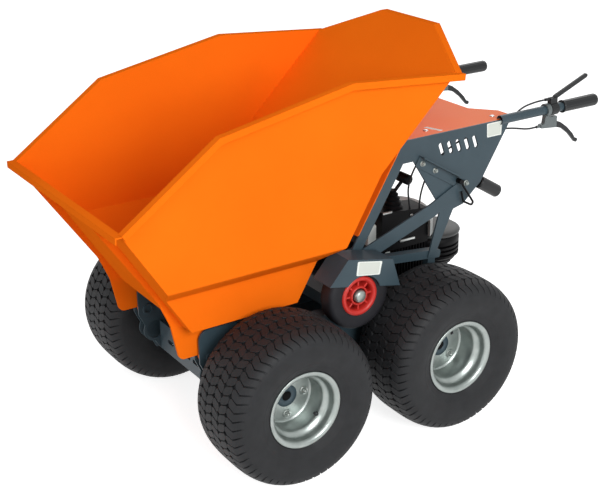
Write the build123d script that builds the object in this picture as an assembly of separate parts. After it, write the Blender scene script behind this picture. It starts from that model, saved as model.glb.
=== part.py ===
from build123d import *
import math
import os

# Pedestrian skip dumper: four turf tyres, a forward-tipping skip, an engine deck and two handles.
# Millimetres. +X is forward, +Y is the machine's left and +Z is up. Everything is laid out from the
# middle of the wheelbase at ground level, and is moved along X at the end so that the origin lies
# under the middle of the whole machine.

# ---- reach of the machine, from the middle of the wheelbase
LIP_REACH = 791.0
GRIP_REACH = 1036.0

# ---- wheels and tyres (20x10.00-8)
WHEELBASE = 580.0
TRACK = 800.0
TYRE_RADIUS = 254.0
TYRE_WIDTH = 254.0
TYRE_WALL = 13.0
TYRE_SHOULDER = 44.0
TYRE_BULGE_SHARE = 0.35
BEAD_RADIUS = 101.6
RIM_FLANGE_RADIUS = 118.7
RIM_HALF_WIDTH = 108.4
RIM_SHEET = 3.6
RIM_SEAT_WIDTH = 32.0
RIM_STEP_WIDTH = 10.0
RIM_WELL_RADIUS = 84.0
BEAD_FIT = 0.4
DISC_OFFSET = 0.0
DISC_SHEET = 6.0
HUB_RADIUS = 35.0
HUB_OUTER_OFFSET = 5.0
HUB_LENGTH = 145.0
AXLE_RADIUS = 15.0
AXLE_FIT = 0.05
AXLE_RECESS = 28.0
AXLE_TUBE_RADIUS = 26.0
BEARING_WIDTH = 92.0
BEARING_DEPTH = 20.0

# ---- friction rollers between the tyres
ROLLER_RADIUS = 110.0
ROLLER_CLEARANCE = 9.3
ROLLER_WIDTH = 62.0
ROLLER_RIM_RADIUS = 62.0
ROLLER_SHOULDER = 14.0
ROLLER_SEAT_GAP = 0.3
ROLLER_SEAT_INSET = 2.0
ROLLER_RIM_WIDTH = 50.0
ROLLER_RIM_WALL = 9.0
ROLLER_WEB = 6.0
ROLLER_HUB_RADIUS = 20.0
ROLLER_BORE_RADIUS = 10.0
ROLLER_FIT = 0.05
ROLLER_RIB_COUNT = 8
ROLLER_RIB = 5.0
ROLLER_RIB_INSET = 6.0
ROLLER_Y = 338.0
ROLLER_NUT_RADIUS = 15.0
ROLLER_NUT_LENGTH = 12.0

# ---- skip: outline of its side, from above (x, z)
SHEET = 4.0
LIP_HEIGHT = 866.0
RIM_OUT = 20.0
RIM_DROP = 20.0
FRONT_KNEE = (470.0, 1077.0)
REAR_KNEE = (35.0, 1158.0)
REAR_CORNER = (-352.0, 1125.0)
BACK_KINK = (-80.0, 861.0)
CREST_HEIGHT = 1219.0
CREST_HALF_WIDTH = 137.0
FLOOR_HEIGHT = 470.0
FLOOR_FRONT = 522.0
FLOOR_REAR = 158.0
SKIP_HALF_WIDTH = 364.0
BELLY_HALF_WIDTH = 265.0
FLARE_TOP = 655.0
FLARE_BOTTOM = 590.0
FOLD_RADIUS = 9.0

# ---- tipping pivot
PIVOT_X = 446.0
PIVOT_Z = 352.0
PIVOT_PIN_RADIUS = 12.0
PIVOT_PIN_PROUD = 4.0
PIVOT_FIT = 0.1
LUG_Y = 203.0
LUG_SHEET = 8.0
LUG_SLEEVE_RADIUS = 24.0
LUG_SHOULDER_RISE = 90.0
LUG_SHOULDER_DEPTH = 16.0
LUG_KNEE_RISE = 9.0
LUG_KNEE_DEPTH = 32.0
LUG_TOE = (90.0, 8.0)
LUG_HEEL = (-46.0, 48.0)
LUG_KNEE_ROUND = 90.0
LUG_TOE_ROUND = 22.0
PIVOT_BOSS_RADIUS = 18.0
PIVOT_BOSS_RISE = 5.0
CHEEK_GAP = 5.0

# ---- chassis
RAIL_Y = 220.0
RAIL_SHEET = 6.0
RAIL_BOTTOM = 190.0
RAIL_TOP = 400.0
RAIL_REAR = -520.0
RAIL_FLANGE = 39.0
RAIL_FLANGE_FRONT = 120.0
NOSE_FRONT = 478.0
NOSE_CHIN = 337.0
NOSE_RADIUS = 34.0
NOSE_TOP_CLEARANCE = 26.0
FLOOR_PAN_SHEET = 4.0
FLOOR_PAN_FRONT = 345.0
CROSS_PLATE_X = 400.0
CROSS_PLATE_TOP = 300.0
CROSS_PLATE_BOTTOM = 200.0
CROSS_SLOT_COUNT = 5
CROSS_SLOT_LENGTH = 40.0
CROSS_SLOT_WIDTH = 14.0
CROSS_SLOT_PITCH = 56.0
CROSS_SLOT_HEIGHT = 246.0
CHEEK_REAR = 345.0
CHEEK_SHEET = 6.0
EYE = (421.0, 273.0)
EYE_RADIUS = 31.0
EYE_RIM = 11.0

# ---- roller frame and guards
BEAM_X = -5.0
BEAM_WIDTH = 60.0
BEAM_HEIGHT = 40.0
UPRIGHT_Y = 274.0
UPRIGHT_SHEET = 6.0
UPRIGHT_HALF_LENGTH = 58.0
UPRIGHT_TOP = 610.0
UPRIGHT_TOP_FALL = 18.0
STUB_SHOULDER = 6.0
STUB_GAP = 1.0
GUARD_SHEET = 3.0
GUARD_OUTER_Y = 380.0
GUARD_TILT = 12.4
GUARD_TOP_LENGTH = 169.0
GUARD_BOTTOM_LENGTH = 266.0
GUARD_HEIGHT = 86.0
GUARD_SHIFT = 6.0
GUARD_CLEARANCE = 8.0
GUARD_NOTCH_RADIUS = 70.0
GUARD_SEAT_GAP = 0.3

# ---- handle plates, braces and rear subframe
PLATE_SHEET = 6.0
PLATE_TOP = 915.0
PLATE_FRONT = -224.0
PLATE_REAR = -657.0
PLATE_TIP = (-427.0, 652.0)
LEG_FOOT = (-8.0, 566.0)
LEG_WIDTH = 36.0
POST_FOOT = (-343.0, 505.0)
POST_WIDTH = 26.0
WINDOW_TOP = 843.0
WINDOW_TOP_REAR = -262.0
WINDOW_CORNER = (-376.0, 666.0)
PLATE_HEEL = (-467.0, 661.0)
PLATE_BACK = (-538.0, 723.0)
PLATE_SLOT_COUNT = 5
PLATE_SLOT_LENGTH = 44.0
PLATE_SLOT_WIDTH = 14.0
PLATE_SLOT_PITCH = 34.0
PLATE_SLOT_FIRST = (-372.0, 862.0)
PLATE_SLOT_SLOPE = 70.0
BRACE_SHEET = 6.0
BRACE_WIDTH = 47.0
BRACE_FOOT = (-60.0, 571.0)
BRACE_KNEE = (-340.0, 668.0)
BRACE_HEAD = (-443.0, 716.0)
SUBFRAME_SLOPE = 6.6
SUBFRAME_FRONT = -70.0
SUBFRAME_OVER_TYRE = 35.0
SUBFRAME_REAR = -385.0
SUBFRAME_TUBE = 28.0
SUBFRAME_LEG_X = -350.0
SUBFRAME_ROUND = 9.0
BRACKET_START = (-285.0, 858.0)
BRACKET_END = (-444.0, 761.0)
BRACKET_LEG = 36.0
BRACKET_LEDGE = 26.0
BRACKET_SHEET = 4.0

# ---- skip latch: a lever behind the left plate and a wire loop in front of it, (x, z)
LATCH_PIVOT = (-438.0, 748.0)
LATCH_PIN_RADIUS = 8.0
LATCH_INSET = 51.0
LATCH_BAR_WIDTH = 12.0
LATCH_BAR_SHEET = 8.0
LATCH_GRIP_START = (-575.0, 700.0)
LATCH_GRIP_END = (-659.0, 648.0)
LATCH_GRIP_RADIUS = 21.5
LATCH_GRIP_BEVEL = 4.0
STRAP_RADIUS = 3.5
STRAP_Y = 300.0
STRAP_PATH = [(-441.0, 744.0), (-510.0, 645.0), (-454.0, 677.0), (-444.0, 712.0)]
STRAP_ROUND = 7.0

# ---- handles and controls
HANDLE_Y = 280.0
HANDLE_Z = 914.0
HANDLE_TUBE_RADIUS = 15.0
HANDLE_TUBE_WALL = 2.5
HANDLE_TUBE_FRONT = -610.0
GRIP_LENGTH = 158.0
GRIP_RADIUS = 20.5
GRIP_ROUND = 10.0
GRIP_END_WALL = 12.0
GRIP_BORE_CLEARANCE = 0.3

# ---- hand levers: (x from the clamp's front, z from the handle's axis)
CLAMP_FROM_GRIP_END = 233.0
CLAMP_LENGTH = 16.0
CLAMP_WALL = 6.0
CASTING = [(-14.0, -12.0), (-2.0, -12.0), (3.0, -45.0), (17.0, -46.0), (17.0, -58.0), (-52.0, -65.0),
           (-52.0, -25.0), (-17.0, -25.0)]
CASTING_THICKNESS = 16.0
CASTING_ROUND = 3.0
FERRULE_RADIUS = 5.0
FERRULE_LENGTH = 14.0
FERRULE_DROP = 52.0
BLADE_UPPER = [(-52.0, -44.0), (-72.0, -51.0), (-103.0, -73.0), (-132.0, -101.0), (-148.0, -124.0)]
BLADE_LOWER = [(-142.0, -130.0), (-113.0, -99.0), (-80.0, -74.0), (-52.0, -65.0)]
BLADE_ROUND = 30.0
BLADE_THICKNESS = 10.0
BLADE_BALL = (-149.0, -127.0)
BLADE_BALL_RADIUS = 7.0
THROTTLE_PIVOT = (-43.0, 38.0)
THROTTLE_TIP = (-176.0, 90.0)
THROTTLE_WIDTH = 14.0
THROTTLE_RING = (-49.0, -19.0)
THROTTLE_BODY_HALF = 8.0
THROTTLE_STOP_RISE = 35.0
THROTTLE_STOP_RADIUS = 5.0

# ---- cables from the left levers to the engine, and the clutch cable of the right lever
CABLE_RADIUS = 3.0
CABLE_ARC_SHARE = 0.45
CLUTCH_ROUTE = [(-772, 280, 862), (-733, 280, 862), (-662, 268, 876), (-580, 250, 876), (-505, 222, 856),
                (-450, 190, 808), (-415, 160, 738)]
CLUTCH_TAIL_LEFT = [(-397, 150, 664), (-395, 150, 600)]
CLUTCH_TAIL_RIGHT = [(-403, 140, 662), (-397, 122, 586), (-395, 112, 510)]
THROTTLE_ROUTE = [(-803, 280, 949), (-768, 280, 949), (-722, 265, 936), (-688, 246, 898), (-632, 224, 874),
                  (-560, 200, 864), (-486, 177, 854), (-420, 159, 822), (-369, 151, 766), (-345, 150, 700),
                  (-355, 149, 640), (-364, 148, 590)]

# ---- engine deck
COVER_SHEET = 3.0
COVER_FRONT = PLATE_FRONT
COVER_REAR = -615.0
COVER_EAR_REAR = -678.0
COVER_EAR_Y = 195.0
COVER_STEP_Y = 118.0
COVER_LIP = 24.0
COVER_EAR_CORNER = (30.0, 12.0)
SHIELD_SHEET = 3.0
SHIELD_BOTTOM = 641.0
SHIELD_ROUND = 8.0
ENGINE_SHEET = 6.0
ENGINE_FRONT = -190.0
ENGINE_REAR = -470.0
ENGINE_HALF_WIDTH = 130.0
ENGINE_TOP = 520.0
ENGINE_DECK_FRONT = -150.0
SHROUD_FRONT = (-237.0, 639.0)
SHROUD_REAR = (-426.0, 619.0)
SHROUD_Y = (66.0, 160.0)
SHROUD_BOTTOM = 500.0
COWL = (-360.0, 60.0)
COWL_RADIUS = 130.0
COWL_TOP = 610.0
COWL_ROUND = 45.0
HOUSING = (-510.0, 75.0)
HOUSING_RADIUS = 95.0
HOUSING_BOTTOM = 360.0
HOUSING_TOP = 500.0
HOUSING_ROUND = 24.0
LOUVRE_COUNT = 7
LOUVRE_DEPTH = 9.0
LOUVRE_TOP = 474.0
LOUVRE_PITCH = 15.5
LOUVRE_STRAIGHT_COUNT = 4
LOUVRE_TAPER = 12.0

# ---- gear lever on the cowl
BOOT = (-315.0, 110.0)
BOOT_RADIUS = 41.0
BOOT_NECK_RADIUS = 14.0
BOOT_TOP = 689.0
BOOT_PLEATS = 5
BOOT_PLEAT_DEPTH = 5.0
STEM_RADIUS = 6.0
KNOB = (-361.0, 720.0)
KNOB_RADIUS = 17.0
KNOB_LENGTH = 56.0
KNOB_BEVEL = 4.0

# ---- how far a cutting tool runs past the faces that it cuts
THROUGH = 1.0

OUT = "parts"
AXLE_X = WHEELBASE / 2
WHEEL_Y = TRACK / 2
MIDDLE_X = (GRIP_REACH - LIP_REACH) / 2
ENGINE_DECK = TYRE_RADIUS + BEARING_WIDTH / 2
ROLLER_REACH = TYRE_RADIUS + ROLLER_RADIUS + ROLLER_CLEARANCE
ROLLER_HEIGHT = TYRE_RADIUS + math.sqrt(ROLLER_REACH ** 2 - AXLE_X ** 2)
NOSE_TOP = FLOOR_HEIGHT - NOSE_TOP_CLEARANCE
CLAMP_X = -GRIP_REACH + CLAMP_FROM_GRIP_END
PLATE_INNER = UPRIGHT_Y + UPRIGHT_SHEET / 2
PLATE_OUTER = PLATE_INNER + PLATE_SHEET
BRACE_OUTER = PLATE_OUTER + BRACE_SHEET
SIDES = ((1, "left"), (-1, "right"))


def save(node, shape):
    """Write one node, moved so that the origin lies under the machine's middle."""
    export_step(Pos(MIDDLE_X, 0, 0) * shape, f"{OUT}/{node}.step")


def prism_xz(points, y_low, y_high):
    """Solid between two planes of constant y, from an outline of (x, z) points."""
    return extrude_xz(make_face(Polyline(*points, close=True)), y_low, y_high)


def extrude_xz(face, y_low, y_high):
    """Solid between two planes of constant y, from a face drawn in (x, z)."""
    return Pos(0, y_low, 0) * extrude(Plane.XZ * face, amount=-(y_high - y_low))


def extrude_yz(face, x_low, x_high):
    """Solid between two planes of constant x, from a face drawn in (y, z)."""
    return Pos(x_low, 0, 0) * extrude(Plane.YZ * face, amount=x_high - x_low)


def rounded(outline, *corners):
    """Face of an outline with some corners rounded, each given as (spot, radius)."""
    face = make_face(Polyline(*outline, close=True))
    for spot, radius in corners:
        face = fillet(min(face.vertices(), key=lambda corner: math.dist((corner.X, corner.Y), spot)), radius)
    return face


def prism_xy(points, z_low, z_high):
    """Solid between two planes of constant z, from an outline of (x, y) points."""
    return Pos(0, 0, z_low) * extrude(make_face(Polyline(*points, close=True)), amount=z_high - z_low)


def block(x_range, y_range, z_range):
    """Rectangular solid between the given limits."""
    size = [high - low for low, high in (x_range, y_range, z_range)]
    middle = [(high + low) / 2 for low, high in (x_range, y_range, z_range)]
    return Pos(*middle) * Box(*size)


def rod_y(radius, x, z, y_low, y_high):
    """Cylinder along Y."""
    return Pos(x, (y_low + y_high) / 2, z) * Rot(90, 0, 0) * Cylinder(radius, y_high - y_low)


def rod_x(radius, y, z, x_low, x_high):
    """Cylinder along X."""
    return Pos((x_low + x_high) / 2, y, z) * Rot(0, 90, 0) * Cylinder(radius, x_high - x_low)


def rod_z(radius, spot, z_low, z_high):
    """Cylinder along Z at (x, y)."""
    return Pos(*spot, (z_low + z_high) / 2) * Cylinder(radius, z_high - z_low)


def rod_between(radius, start, end, y):
    """Cylinder between two (x, z) points of a plane of constant y."""
    axis = Plane(origin=(start[0], y, start[1]), z_dir=(end[0] - start[0], 0, end[1] - start[1]))
    return extrude(axis * Circle(radius), amount=math.dist(start, end))


def on_side(shape, side):
    """The left-hand shape itself, or its mirror image for the right-hand side."""
    return shape if side > 0 else mirror(shape, about=Plane.XZ)


def line_crossing(point_a, way_a, point_b, way_b):
    """Where two lines of a plane cross, each given by a point and a direction."""
    cross = way_a[0] * way_b[1] - way_a[1] * way_b[0]
    gap = (point_b[0] - point_a[0], point_b[1] - point_a[1])
    along = (gap[0] * way_b[1] - gap[1] * way_b[0]) / cross
    return (point_a[0] + along * way_a[0], point_a[1] + along * way_a[1])


def offset_path(points, distance):
    """The same open path, moved to its left by a distance, with mitred corners."""
    lines = []
    for start, end in zip(points, points[1:]):
        length = math.dist(start, end)
        way = ((end[0] - start[0]) / length, (end[1] - start[1]) / length)
        lines.append(((start[0] - way[1] * distance, start[1] + way[0] * distance), way))
    moved = [lines[0][0]]
    for before, after in zip(lines, lines[1:]):
        moved.append(line_crossing(*before, *after))
    last_point, last_way = lines[-1]
    length = math.dist(points[-2], points[-1])
    moved.append((last_point[0] + last_way[0] * length, last_point[1] + last_way[1] * length))
    return moved


def strip(points, distance):
    """Closed outline between an open path and the same path moved to its left."""
    return list(points) + offset_path(points, distance)[::-1]


# ---------------------------------------------------------------- skip

LIP = (LIP_REACH - RIM_OUT, LIP_HEIGHT)
RIM_PATH = [LIP, FRONT_KNEE, REAR_KNEE, REAR_CORNER]
BELLY_PATH = [REAR_CORNER, BACK_KINK, (FLOOR_REAR, FLOOR_HEIGHT), (FLOOR_FRONT, FLOOR_HEIGHT), LIP]
BACK_RUN = (REAR_CORNER[0] - BACK_KINK[0]) / (REAR_CORNER[1] - BACK_KINK[1])
CREST = (REAR_CORNER[0] + (CREST_HEIGHT - REAR_CORNER[1]) * BACK_RUN, CREST_HEIGHT)


def skip_section(half_width, belly, grow):
    """Left half of the skip's cross-section outline, (y, z), from the top down."""
    way = (belly - half_width, FLARE_BOTTOM - FLARE_TOP)
    length = math.hypot(*way)
    normal = (-way[1] / length, way[0] / length)
    on_flare = (half_width + normal[0] * grow, FLARE_TOP + normal[1] * grow)
    wall, skirt = half_width + grow, belly + grow
    return [line_crossing((wall, 0), (0, 1), on_flare, way), line_crossing((skirt, 0), (0, 1), on_flare, way)]


def fold_rounds(outer, inner):
    """Bend radii of the side sheet's two folds, as (spot, radius) corners of both its faces."""
    wide, tight = FOLD_RADIUS, FOLD_RADIUS - SHEET
    return [(outer[0], wide), (inner[0], tight), (outer[1], tight), (inner[1], wide)]


def skip_side():
    """Folded side sheet: upper wall, flare and belly skirt, with its turned-out rim."""
    top, bottom = CREST_HEIGHT, FLOOR_HEIGHT - SHEET
    outer = skip_section(SKIP_HALF_WIDTH, BELLY_HALF_WIDTH, 0)
    inner = skip_section(SKIP_HALF_WIDTH, BELLY_HALF_WIDTH, -SHEET)
    outline = [(SKIP_HALF_WIDTH, top), outer[0], outer[1], (BELLY_HALF_WIDTH, bottom),
               (BELLY_HALF_WIDTH - SHEET, bottom), inner[1], inner[0], (SKIP_HALF_WIDTH - SHEET, top)]
    folded = extrude_yz(rounded(outline, *fold_rounds(outer, inner)), CREST[0], LIP_REACH)
    side = folded & prism_xz(BELLY_PATH + RIM_PATH[1:-1], 0, SKIP_HALF_WIDTH)
    rear_end = (REAR_CORNER[0] - RIM_OUT, REAR_CORNER[1] - RIM_OUT * (REAR_KNEE[1] - REAR_CORNER[1])
                / (REAR_KNEE[0] - REAR_CORNER[0]))
    path = [LIP, FRONT_KNEE, REAR_KNEE, rear_end]
    outer_y = SKIP_HALF_WIDTH + RIM_OUT
    ledge = prism_xz(strip(path, SHEET), SKIP_HALF_WIDTH, outer_y)
    turned = prism_xz(strip(path, RIM_DROP), outer_y - SHEET, outer_y)
    return side + ledge + turned


def skip_inside(half_top):
    """Prism along X that fills the inside of the skip's cross-section."""
    outer = skip_section(SKIP_HALF_WIDTH, BELLY_HALF_WIDTH, 0)
    corners = skip_section(SKIP_HALF_WIDTH, BELLY_HALF_WIDTH, -SHEET)
    half = [(CREST_HALF_WIDTH, half_top), (SKIP_HALF_WIDTH - SHEET, REAR_CORNER[1]), corners[0], corners[1],
            (corners[1][0], FLOOR_HEIGHT - SHEET)]
    left = fold_rounds(outer, corners)[1::2]
    both = left + [((-y, z), radius) for (y, z), radius in left]
    return extrude_yz(rounded(half + [(-y, z) for y, z in half[::-1]], *both), CREST[0] - SHEET, LIP_REACH)


def skip_wrap():
    """Front, floor and rear plates between the side sheets, as three solids."""
    outer = [CREST, BACK_KINK, (FLOOR_REAR, FLOOR_HEIGHT), (FLOOR_FRONT, FLOOR_HEIGHT), LIP]
    inner = offset_path(outer, SHEET)
    inside = skip_inside(CREST_HEIGHT)
    wide = SKIP_HALF_WIDTH
    rear = prism_xz([*outer[0:3], *inner[0:3][::-1]], -wide, wide) & inside
    floor = prism_xz([*outer[2:4], *inner[2:4][::-1]], -wide, wide) & inside
    front = prism_xz([*outer[3:5], *inner[3:5][::-1]], -wide, wide) & inside
    return rear, floor, front - block((0, LIP_REACH), (-wide, wide), (LIP_HEIGHT, CREST_HEIGHT))


def lip_rim():
    """Turned-out rim along the front lip, between the side rims' outer faces."""
    outer_y, inner_y = SKIP_HALF_WIDTH + RIM_OUT, SKIP_HALF_WIDTH - SHEET
    ledge = block((LIP[0], LIP_REACH), (-outer_y, outer_y), (LIP_HEIGHT - SHEET, LIP_HEIGHT))
    root = block((LIP[0] - SHEET, LIP[0]), (-inner_y, inner_y), (LIP_HEIGHT - SHEET, LIP_HEIGHT))
    turned = block((LIP_REACH - SHEET, LIP_REACH), (-outer_y, outer_y), (LIP_HEIGHT - RIM_DROP, LIP_HEIGHT))
    return ledge + root + turned


def slab(corners, way, thickness):
    """Plane face through the corners, thickened along a direction."""
    return extrude(make_face(Polyline(*corners, close=True)), amount=thickness, dir=way)


def crest_rim():
    """Turned-out rim along the three edges of the raised rear wall."""
    path = [(REAR_CORNER[0], SKIP_HALF_WIDTH, REAR_CORNER[1]), (CREST[0], CREST_HALF_WIDTH, CREST[1]),
            (CREST[0], -CREST_HALF_WIDTH, CREST[1]), (REAR_CORNER[0], -SKIP_HALF_WIDTH, REAR_CORNER[1])]
    inner_y = SKIP_HALF_WIDTH - SHEET
    inside = block((CREST[0], LIP_REACH), (-inner_y, inner_y), (0, CREST_HEIGHT + SHEET))
    rim = None
    for start, end in zip(path, path[1:]):
        back = [(x - RIM_OUT, y, z) for x, y, z in (end, start)]
        ledge = slab([start, end, *back], (0, 0, -1), SHEET)
        front = [(x + SHEET, y, z) for x, y, z in (end, start)]
        root = slab([start, end, *front], (0, 0, -1), SHEET) & inside
        ledge += root
        down = [(x, y, z - RIM_DROP) for x, y, z in back[::-1]]
        turned = slab([*back, *down], (1, 0, 0), SHEET)
        rim = ledge + turned if rim is None else rim + ledge + turned
    return rim


def skip_lug():
    """Left gusset under the front slope: a rib from the lip's rim down to the pivot sleeve."""
    run = (LIP[0] - FLOOR_FRONT) / (LIP[1] - FLOOR_HEIGHT)
    under_rim = LIP_HEIGHT - SHEET
    head = (FLOOR_FRONT + (under_rim - FLOOR_HEIGHT) * run, under_rim)
    shoulder = (FLOOR_FRONT + LUG_SHOULDER_RISE * run + LUG_SHOULDER_DEPTH, FLOOR_HEIGHT + LUG_SHOULDER_RISE)
    knee = (FLOOR_FRONT + LUG_KNEE_RISE * run + LUG_KNEE_DEPTH, FLOOR_HEIGHT + LUG_KNEE_RISE)
    toe = (PIVOT_X + LUG_TOE[0], PIVOT_Z + LUG_TOE[1])
    heel = (PIVOT_X + LUG_HEEL[0], PIVOT_Z + LUG_HEEL[1])
    behind_rim = LIP_REACH - SHEET
    outline = [head, (behind_rim, under_rim), (behind_rim, LIP_HEIGHT - RIM_DROP), shoulder, knee, toe,
               (PIVOT_X, toe[1]), heel, (heel[0], FLOOR_HEIGHT), (FLOOR_FRONT, FLOOR_HEIGHT)]
    face = rounded(outline, (shoulder, LUG_KNEE_ROUND), (knee, LUG_KNEE_ROUND), (toe, LUG_TOE_ROUND))
    plate = extrude_xz(face, LUG_Y - LUG_SHEET / 2, LUG_Y + LUG_SHEET / 2)
    sleeve = rod_y(LUG_SLEEVE_RADIUS, PIVOT_X, PIVOT_Z, LUG_Y - LUG_SHEET, LUG_Y + LUG_SHEET)
    bore = rod_y(PIVOT_PIN_RADIUS + PIVOT_FIT, PIVOT_X, PIVOT_Z, LUG_Y - 2 * LUG_SHEET, LUG_Y + 2 * LUG_SHEET)
    return plate + sleeve - bore


def write_skip():
    rear, floor, front = skip_wrap()
    save("skip_rear_wall", rear + crest_rim())
    save("skip_floor", floor)
    save("skip_front_slope", front + lip_rim())
    for side, hand in SIDES:
        save(f"skip_side_{hand}", on_side(skip_side(), side))
        save(f"skip_lug_{hand}", on_side(skip_lug(), side))


# ---------------------------------------------------------------- wheels

def revolve_y(edges):
    """Solid of revolution about Y, from edges drawn as (y, radius)."""
    return revolve(Plane.YZ * make_face(edges), axis=Axis.Y)


def tyre():
    """Hollow turf tyre about the origin, axis along Y."""
    half = TYRE_WIDTH / 2
    bead = BEAD_RADIUS + BEAD_FIT
    flange = RIM_HALF_WIDTH - RIM_SHEET - BEAD_FIT
    wall = TYRE_RADIUS - RIM_FLANGE_RADIUS
    bulge = RIM_FLANGE_RADIUS + wall * TYRE_BULGE_SHARE
    outer = [(half - TYRE_SHOULDER, TYRE_RADIUS), (half - TYRE_SHOULDER / 3, TYRE_RADIUS - TYRE_SHOULDER / 3),
             (half, TYRE_RADIUS - TYRE_SHOULDER), (half, bulge), (flange, RIM_FLANGE_RADIUS), (flange, bead)]
    inner = [(flange - TYRE_WALL, bead), (half - TYRE_SHOULDER, TYRE_RADIUS - TYRE_WALL)]
    loop = outer + inner
    return revolve_y(Polyline(*loop, *[(-y, radius) for y, radius in loop[::-1]], close=True))


def wheel_rim():
    """Pressed rim with its disc and hub about the origin, outboard side at +Y."""
    seat = RIM_HALF_WIDTH - RIM_SEAT_WIDTH
    step = seat - RIM_STEP_WIDTH
    flange = RIM_HALF_WIDTH - RIM_SHEET
    path = [(flange, RIM_FLANGE_RADIUS), (flange, BEAD_RADIUS), (seat, BEAD_RADIUS),
            (step, RIM_WELL_RADIUS), (-step, RIM_WELL_RADIUS), (-seat, BEAD_RADIUS),
            (-flange, BEAD_RADIUS), (-flange, RIM_FLANGE_RADIUS)]
    barrel = revolve_y(Polyline(*strip(path, RIM_SHEET), close=True))
    disc_low, disc_high = DISC_OFFSET - DISC_SHEET / 2, DISC_OFFSET + DISC_SHEET / 2
    disc = rod_y(RIM_WELL_RADIUS - RIM_SHEET / 2, 0, 0, disc_low, disc_high)
    hub = rod_y(HUB_RADIUS, 0, 0, HUB_OUTER_OFFSET - HUB_LENGTH, HUB_OUTER_OFFSET)
    wheel = barrel + disc + hub
    return wheel - rod_y(AXLE_RADIUS, 0, 0, -TYRE_WIDTH, TYRE_WIDTH)


def axle():
    """Axle: housing tube between the rails, square bearing flanges and the through shaft, at x = 0."""
    web_inner, web_outer = RAIL_Y - RAIL_SHEET / 2, RAIL_Y + RAIL_SHEET / 2
    end = WHEEL_Y + HUB_OUTER_OFFSET - AXLE_RECESS
    body = rod_y(AXLE_TUBE_RADIUS, 0, TYRE_RADIUS, -web_inner, web_inner)
    body += rod_y(AXLE_RADIUS - AXLE_FIT, 0, TYRE_RADIUS, -end, end)
    half = BEARING_WIDTH / 2
    for low in (web_outer, -web_outer - BEARING_DEPTH):
        body += block((-half, half), (low, low + BEARING_DEPTH), (TYRE_RADIUS - half, TYRE_RADIUS + half))
    return body


def write_wheels():
    for place, x in (("front", AXLE_X), ("rear", -AXLE_X)):
        save(f"axle_{place}", Pos(x, 0, 0) * axle())
        for side, hand in SIDES:
            spot = Pos(x, side * WHEEL_Y, TYRE_RADIUS)
            save(f"tyre_{place}_{hand}", spot * tyre())
            save(f"rim_{place}_{hand}", spot * on_side(wheel_rim(), side))


# ---------------------------------------------------------------- friction rollers

def roller_tyre():
    """Small roller tyre about the origin, axis along Y."""
    half, seat = ROLLER_WIDTH / 2, ROLLER_RIM_WIDTH / 2 - ROLLER_SEAT_INSET
    loop = [(half - ROLLER_SHOULDER, ROLLER_RADIUS), (half, ROLLER_RADIUS - ROLLER_SHOULDER),
            (half, ROLLER_RIM_RADIUS + ROLLER_SHOULDER), (seat, ROLLER_RIM_RADIUS + ROLLER_SEAT_GAP)]
    return revolve_y(Polyline(*loop, *[(-y, radius) for y, radius in loop[::-1]], close=True))


def roller_rim():
    """Ribbed plastic roller wheel about the origin, outboard side at +Y."""
    half = ROLLER_RIM_WIDTH / 2
    drum = rod_y(ROLLER_RIM_RADIUS, 0, 0, -half, half)
    drum -= rod_y(ROLLER_RIM_RADIUS - ROLLER_RIM_WALL, 0, 0, -half, half)
    rib_end = ROLLER_RIM_RADIUS - ROLLER_RIM_WALL / 2
    web = rod_y(rib_end, 0, 0, -ROLLER_WEB / 2, ROLLER_WEB / 2)
    hub = rod_y(ROLLER_HUB_RADIUS, 0, 0, -half, half)
    wheel = drum + web + hub
    rib_half = half - ROLLER_RIB_INSET
    for index in range(ROLLER_RIB_COUNT):
        rib = block((ROLLER_BORE_RADIUS, rib_end), (-rib_half, rib_half), (-ROLLER_RIB / 2, ROLLER_RIB / 2))
        wheel += Rot(0, 360 / ROLLER_RIB_COUNT * index, 0) * rib
    return wheel - rod_y(ROLLER_BORE_RADIUS, 0, 0, -half * 2, half * 2)


def write_rollers():
    for side, hand in SIDES:
        spot = Pos(0, side * ROLLER_Y, ROLLER_HEIGHT)
        save(f"roller_tyre_{hand}", spot * roller_tyre())
        save(f"roller_rim_{hand}", spot * on_side(roller_rim(), side))


# ---------------------------------------------------------------- chassis

def nose_face(rear, bottom):
    """Outline of a clevis cheek's rounded nose, closed along a rear and a bottom edge, (x, z)."""
    corners = [(rear, bottom), (CROSS_PLATE_X + RAIL_SHEET, bottom), (EYE[0] + EYE_RIM, EYE[1] - EYE_RADIUS),
               (EYE[0] + EYE_RADIUS + EYE_RIM, EYE[1] + EYE_RADIUS), (NOSE_FRONT, NOSE_CHIN),
               (NOSE_FRONT, NOSE_TOP), (rear, NOSE_TOP)]
    face = make_face(Polyline(*corners, close=True))
    front_top = face.vertices().group_by(Axis.Y)[-1].sort_by(Axis.X)[-1]
    return fillet(front_top, NOSE_RADIUS) + Pos(*EYE) * Circle(EYE_RADIUS + EYE_RIM)


def pivot_hole():
    """Cylinder that opens the pin hole through both cheeks of both clevises."""
    return rod_y(PIVOT_PIN_RADIUS, PIVOT_X, PIVOT_Z, -WHEEL_Y, WHEEL_Y)


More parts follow.
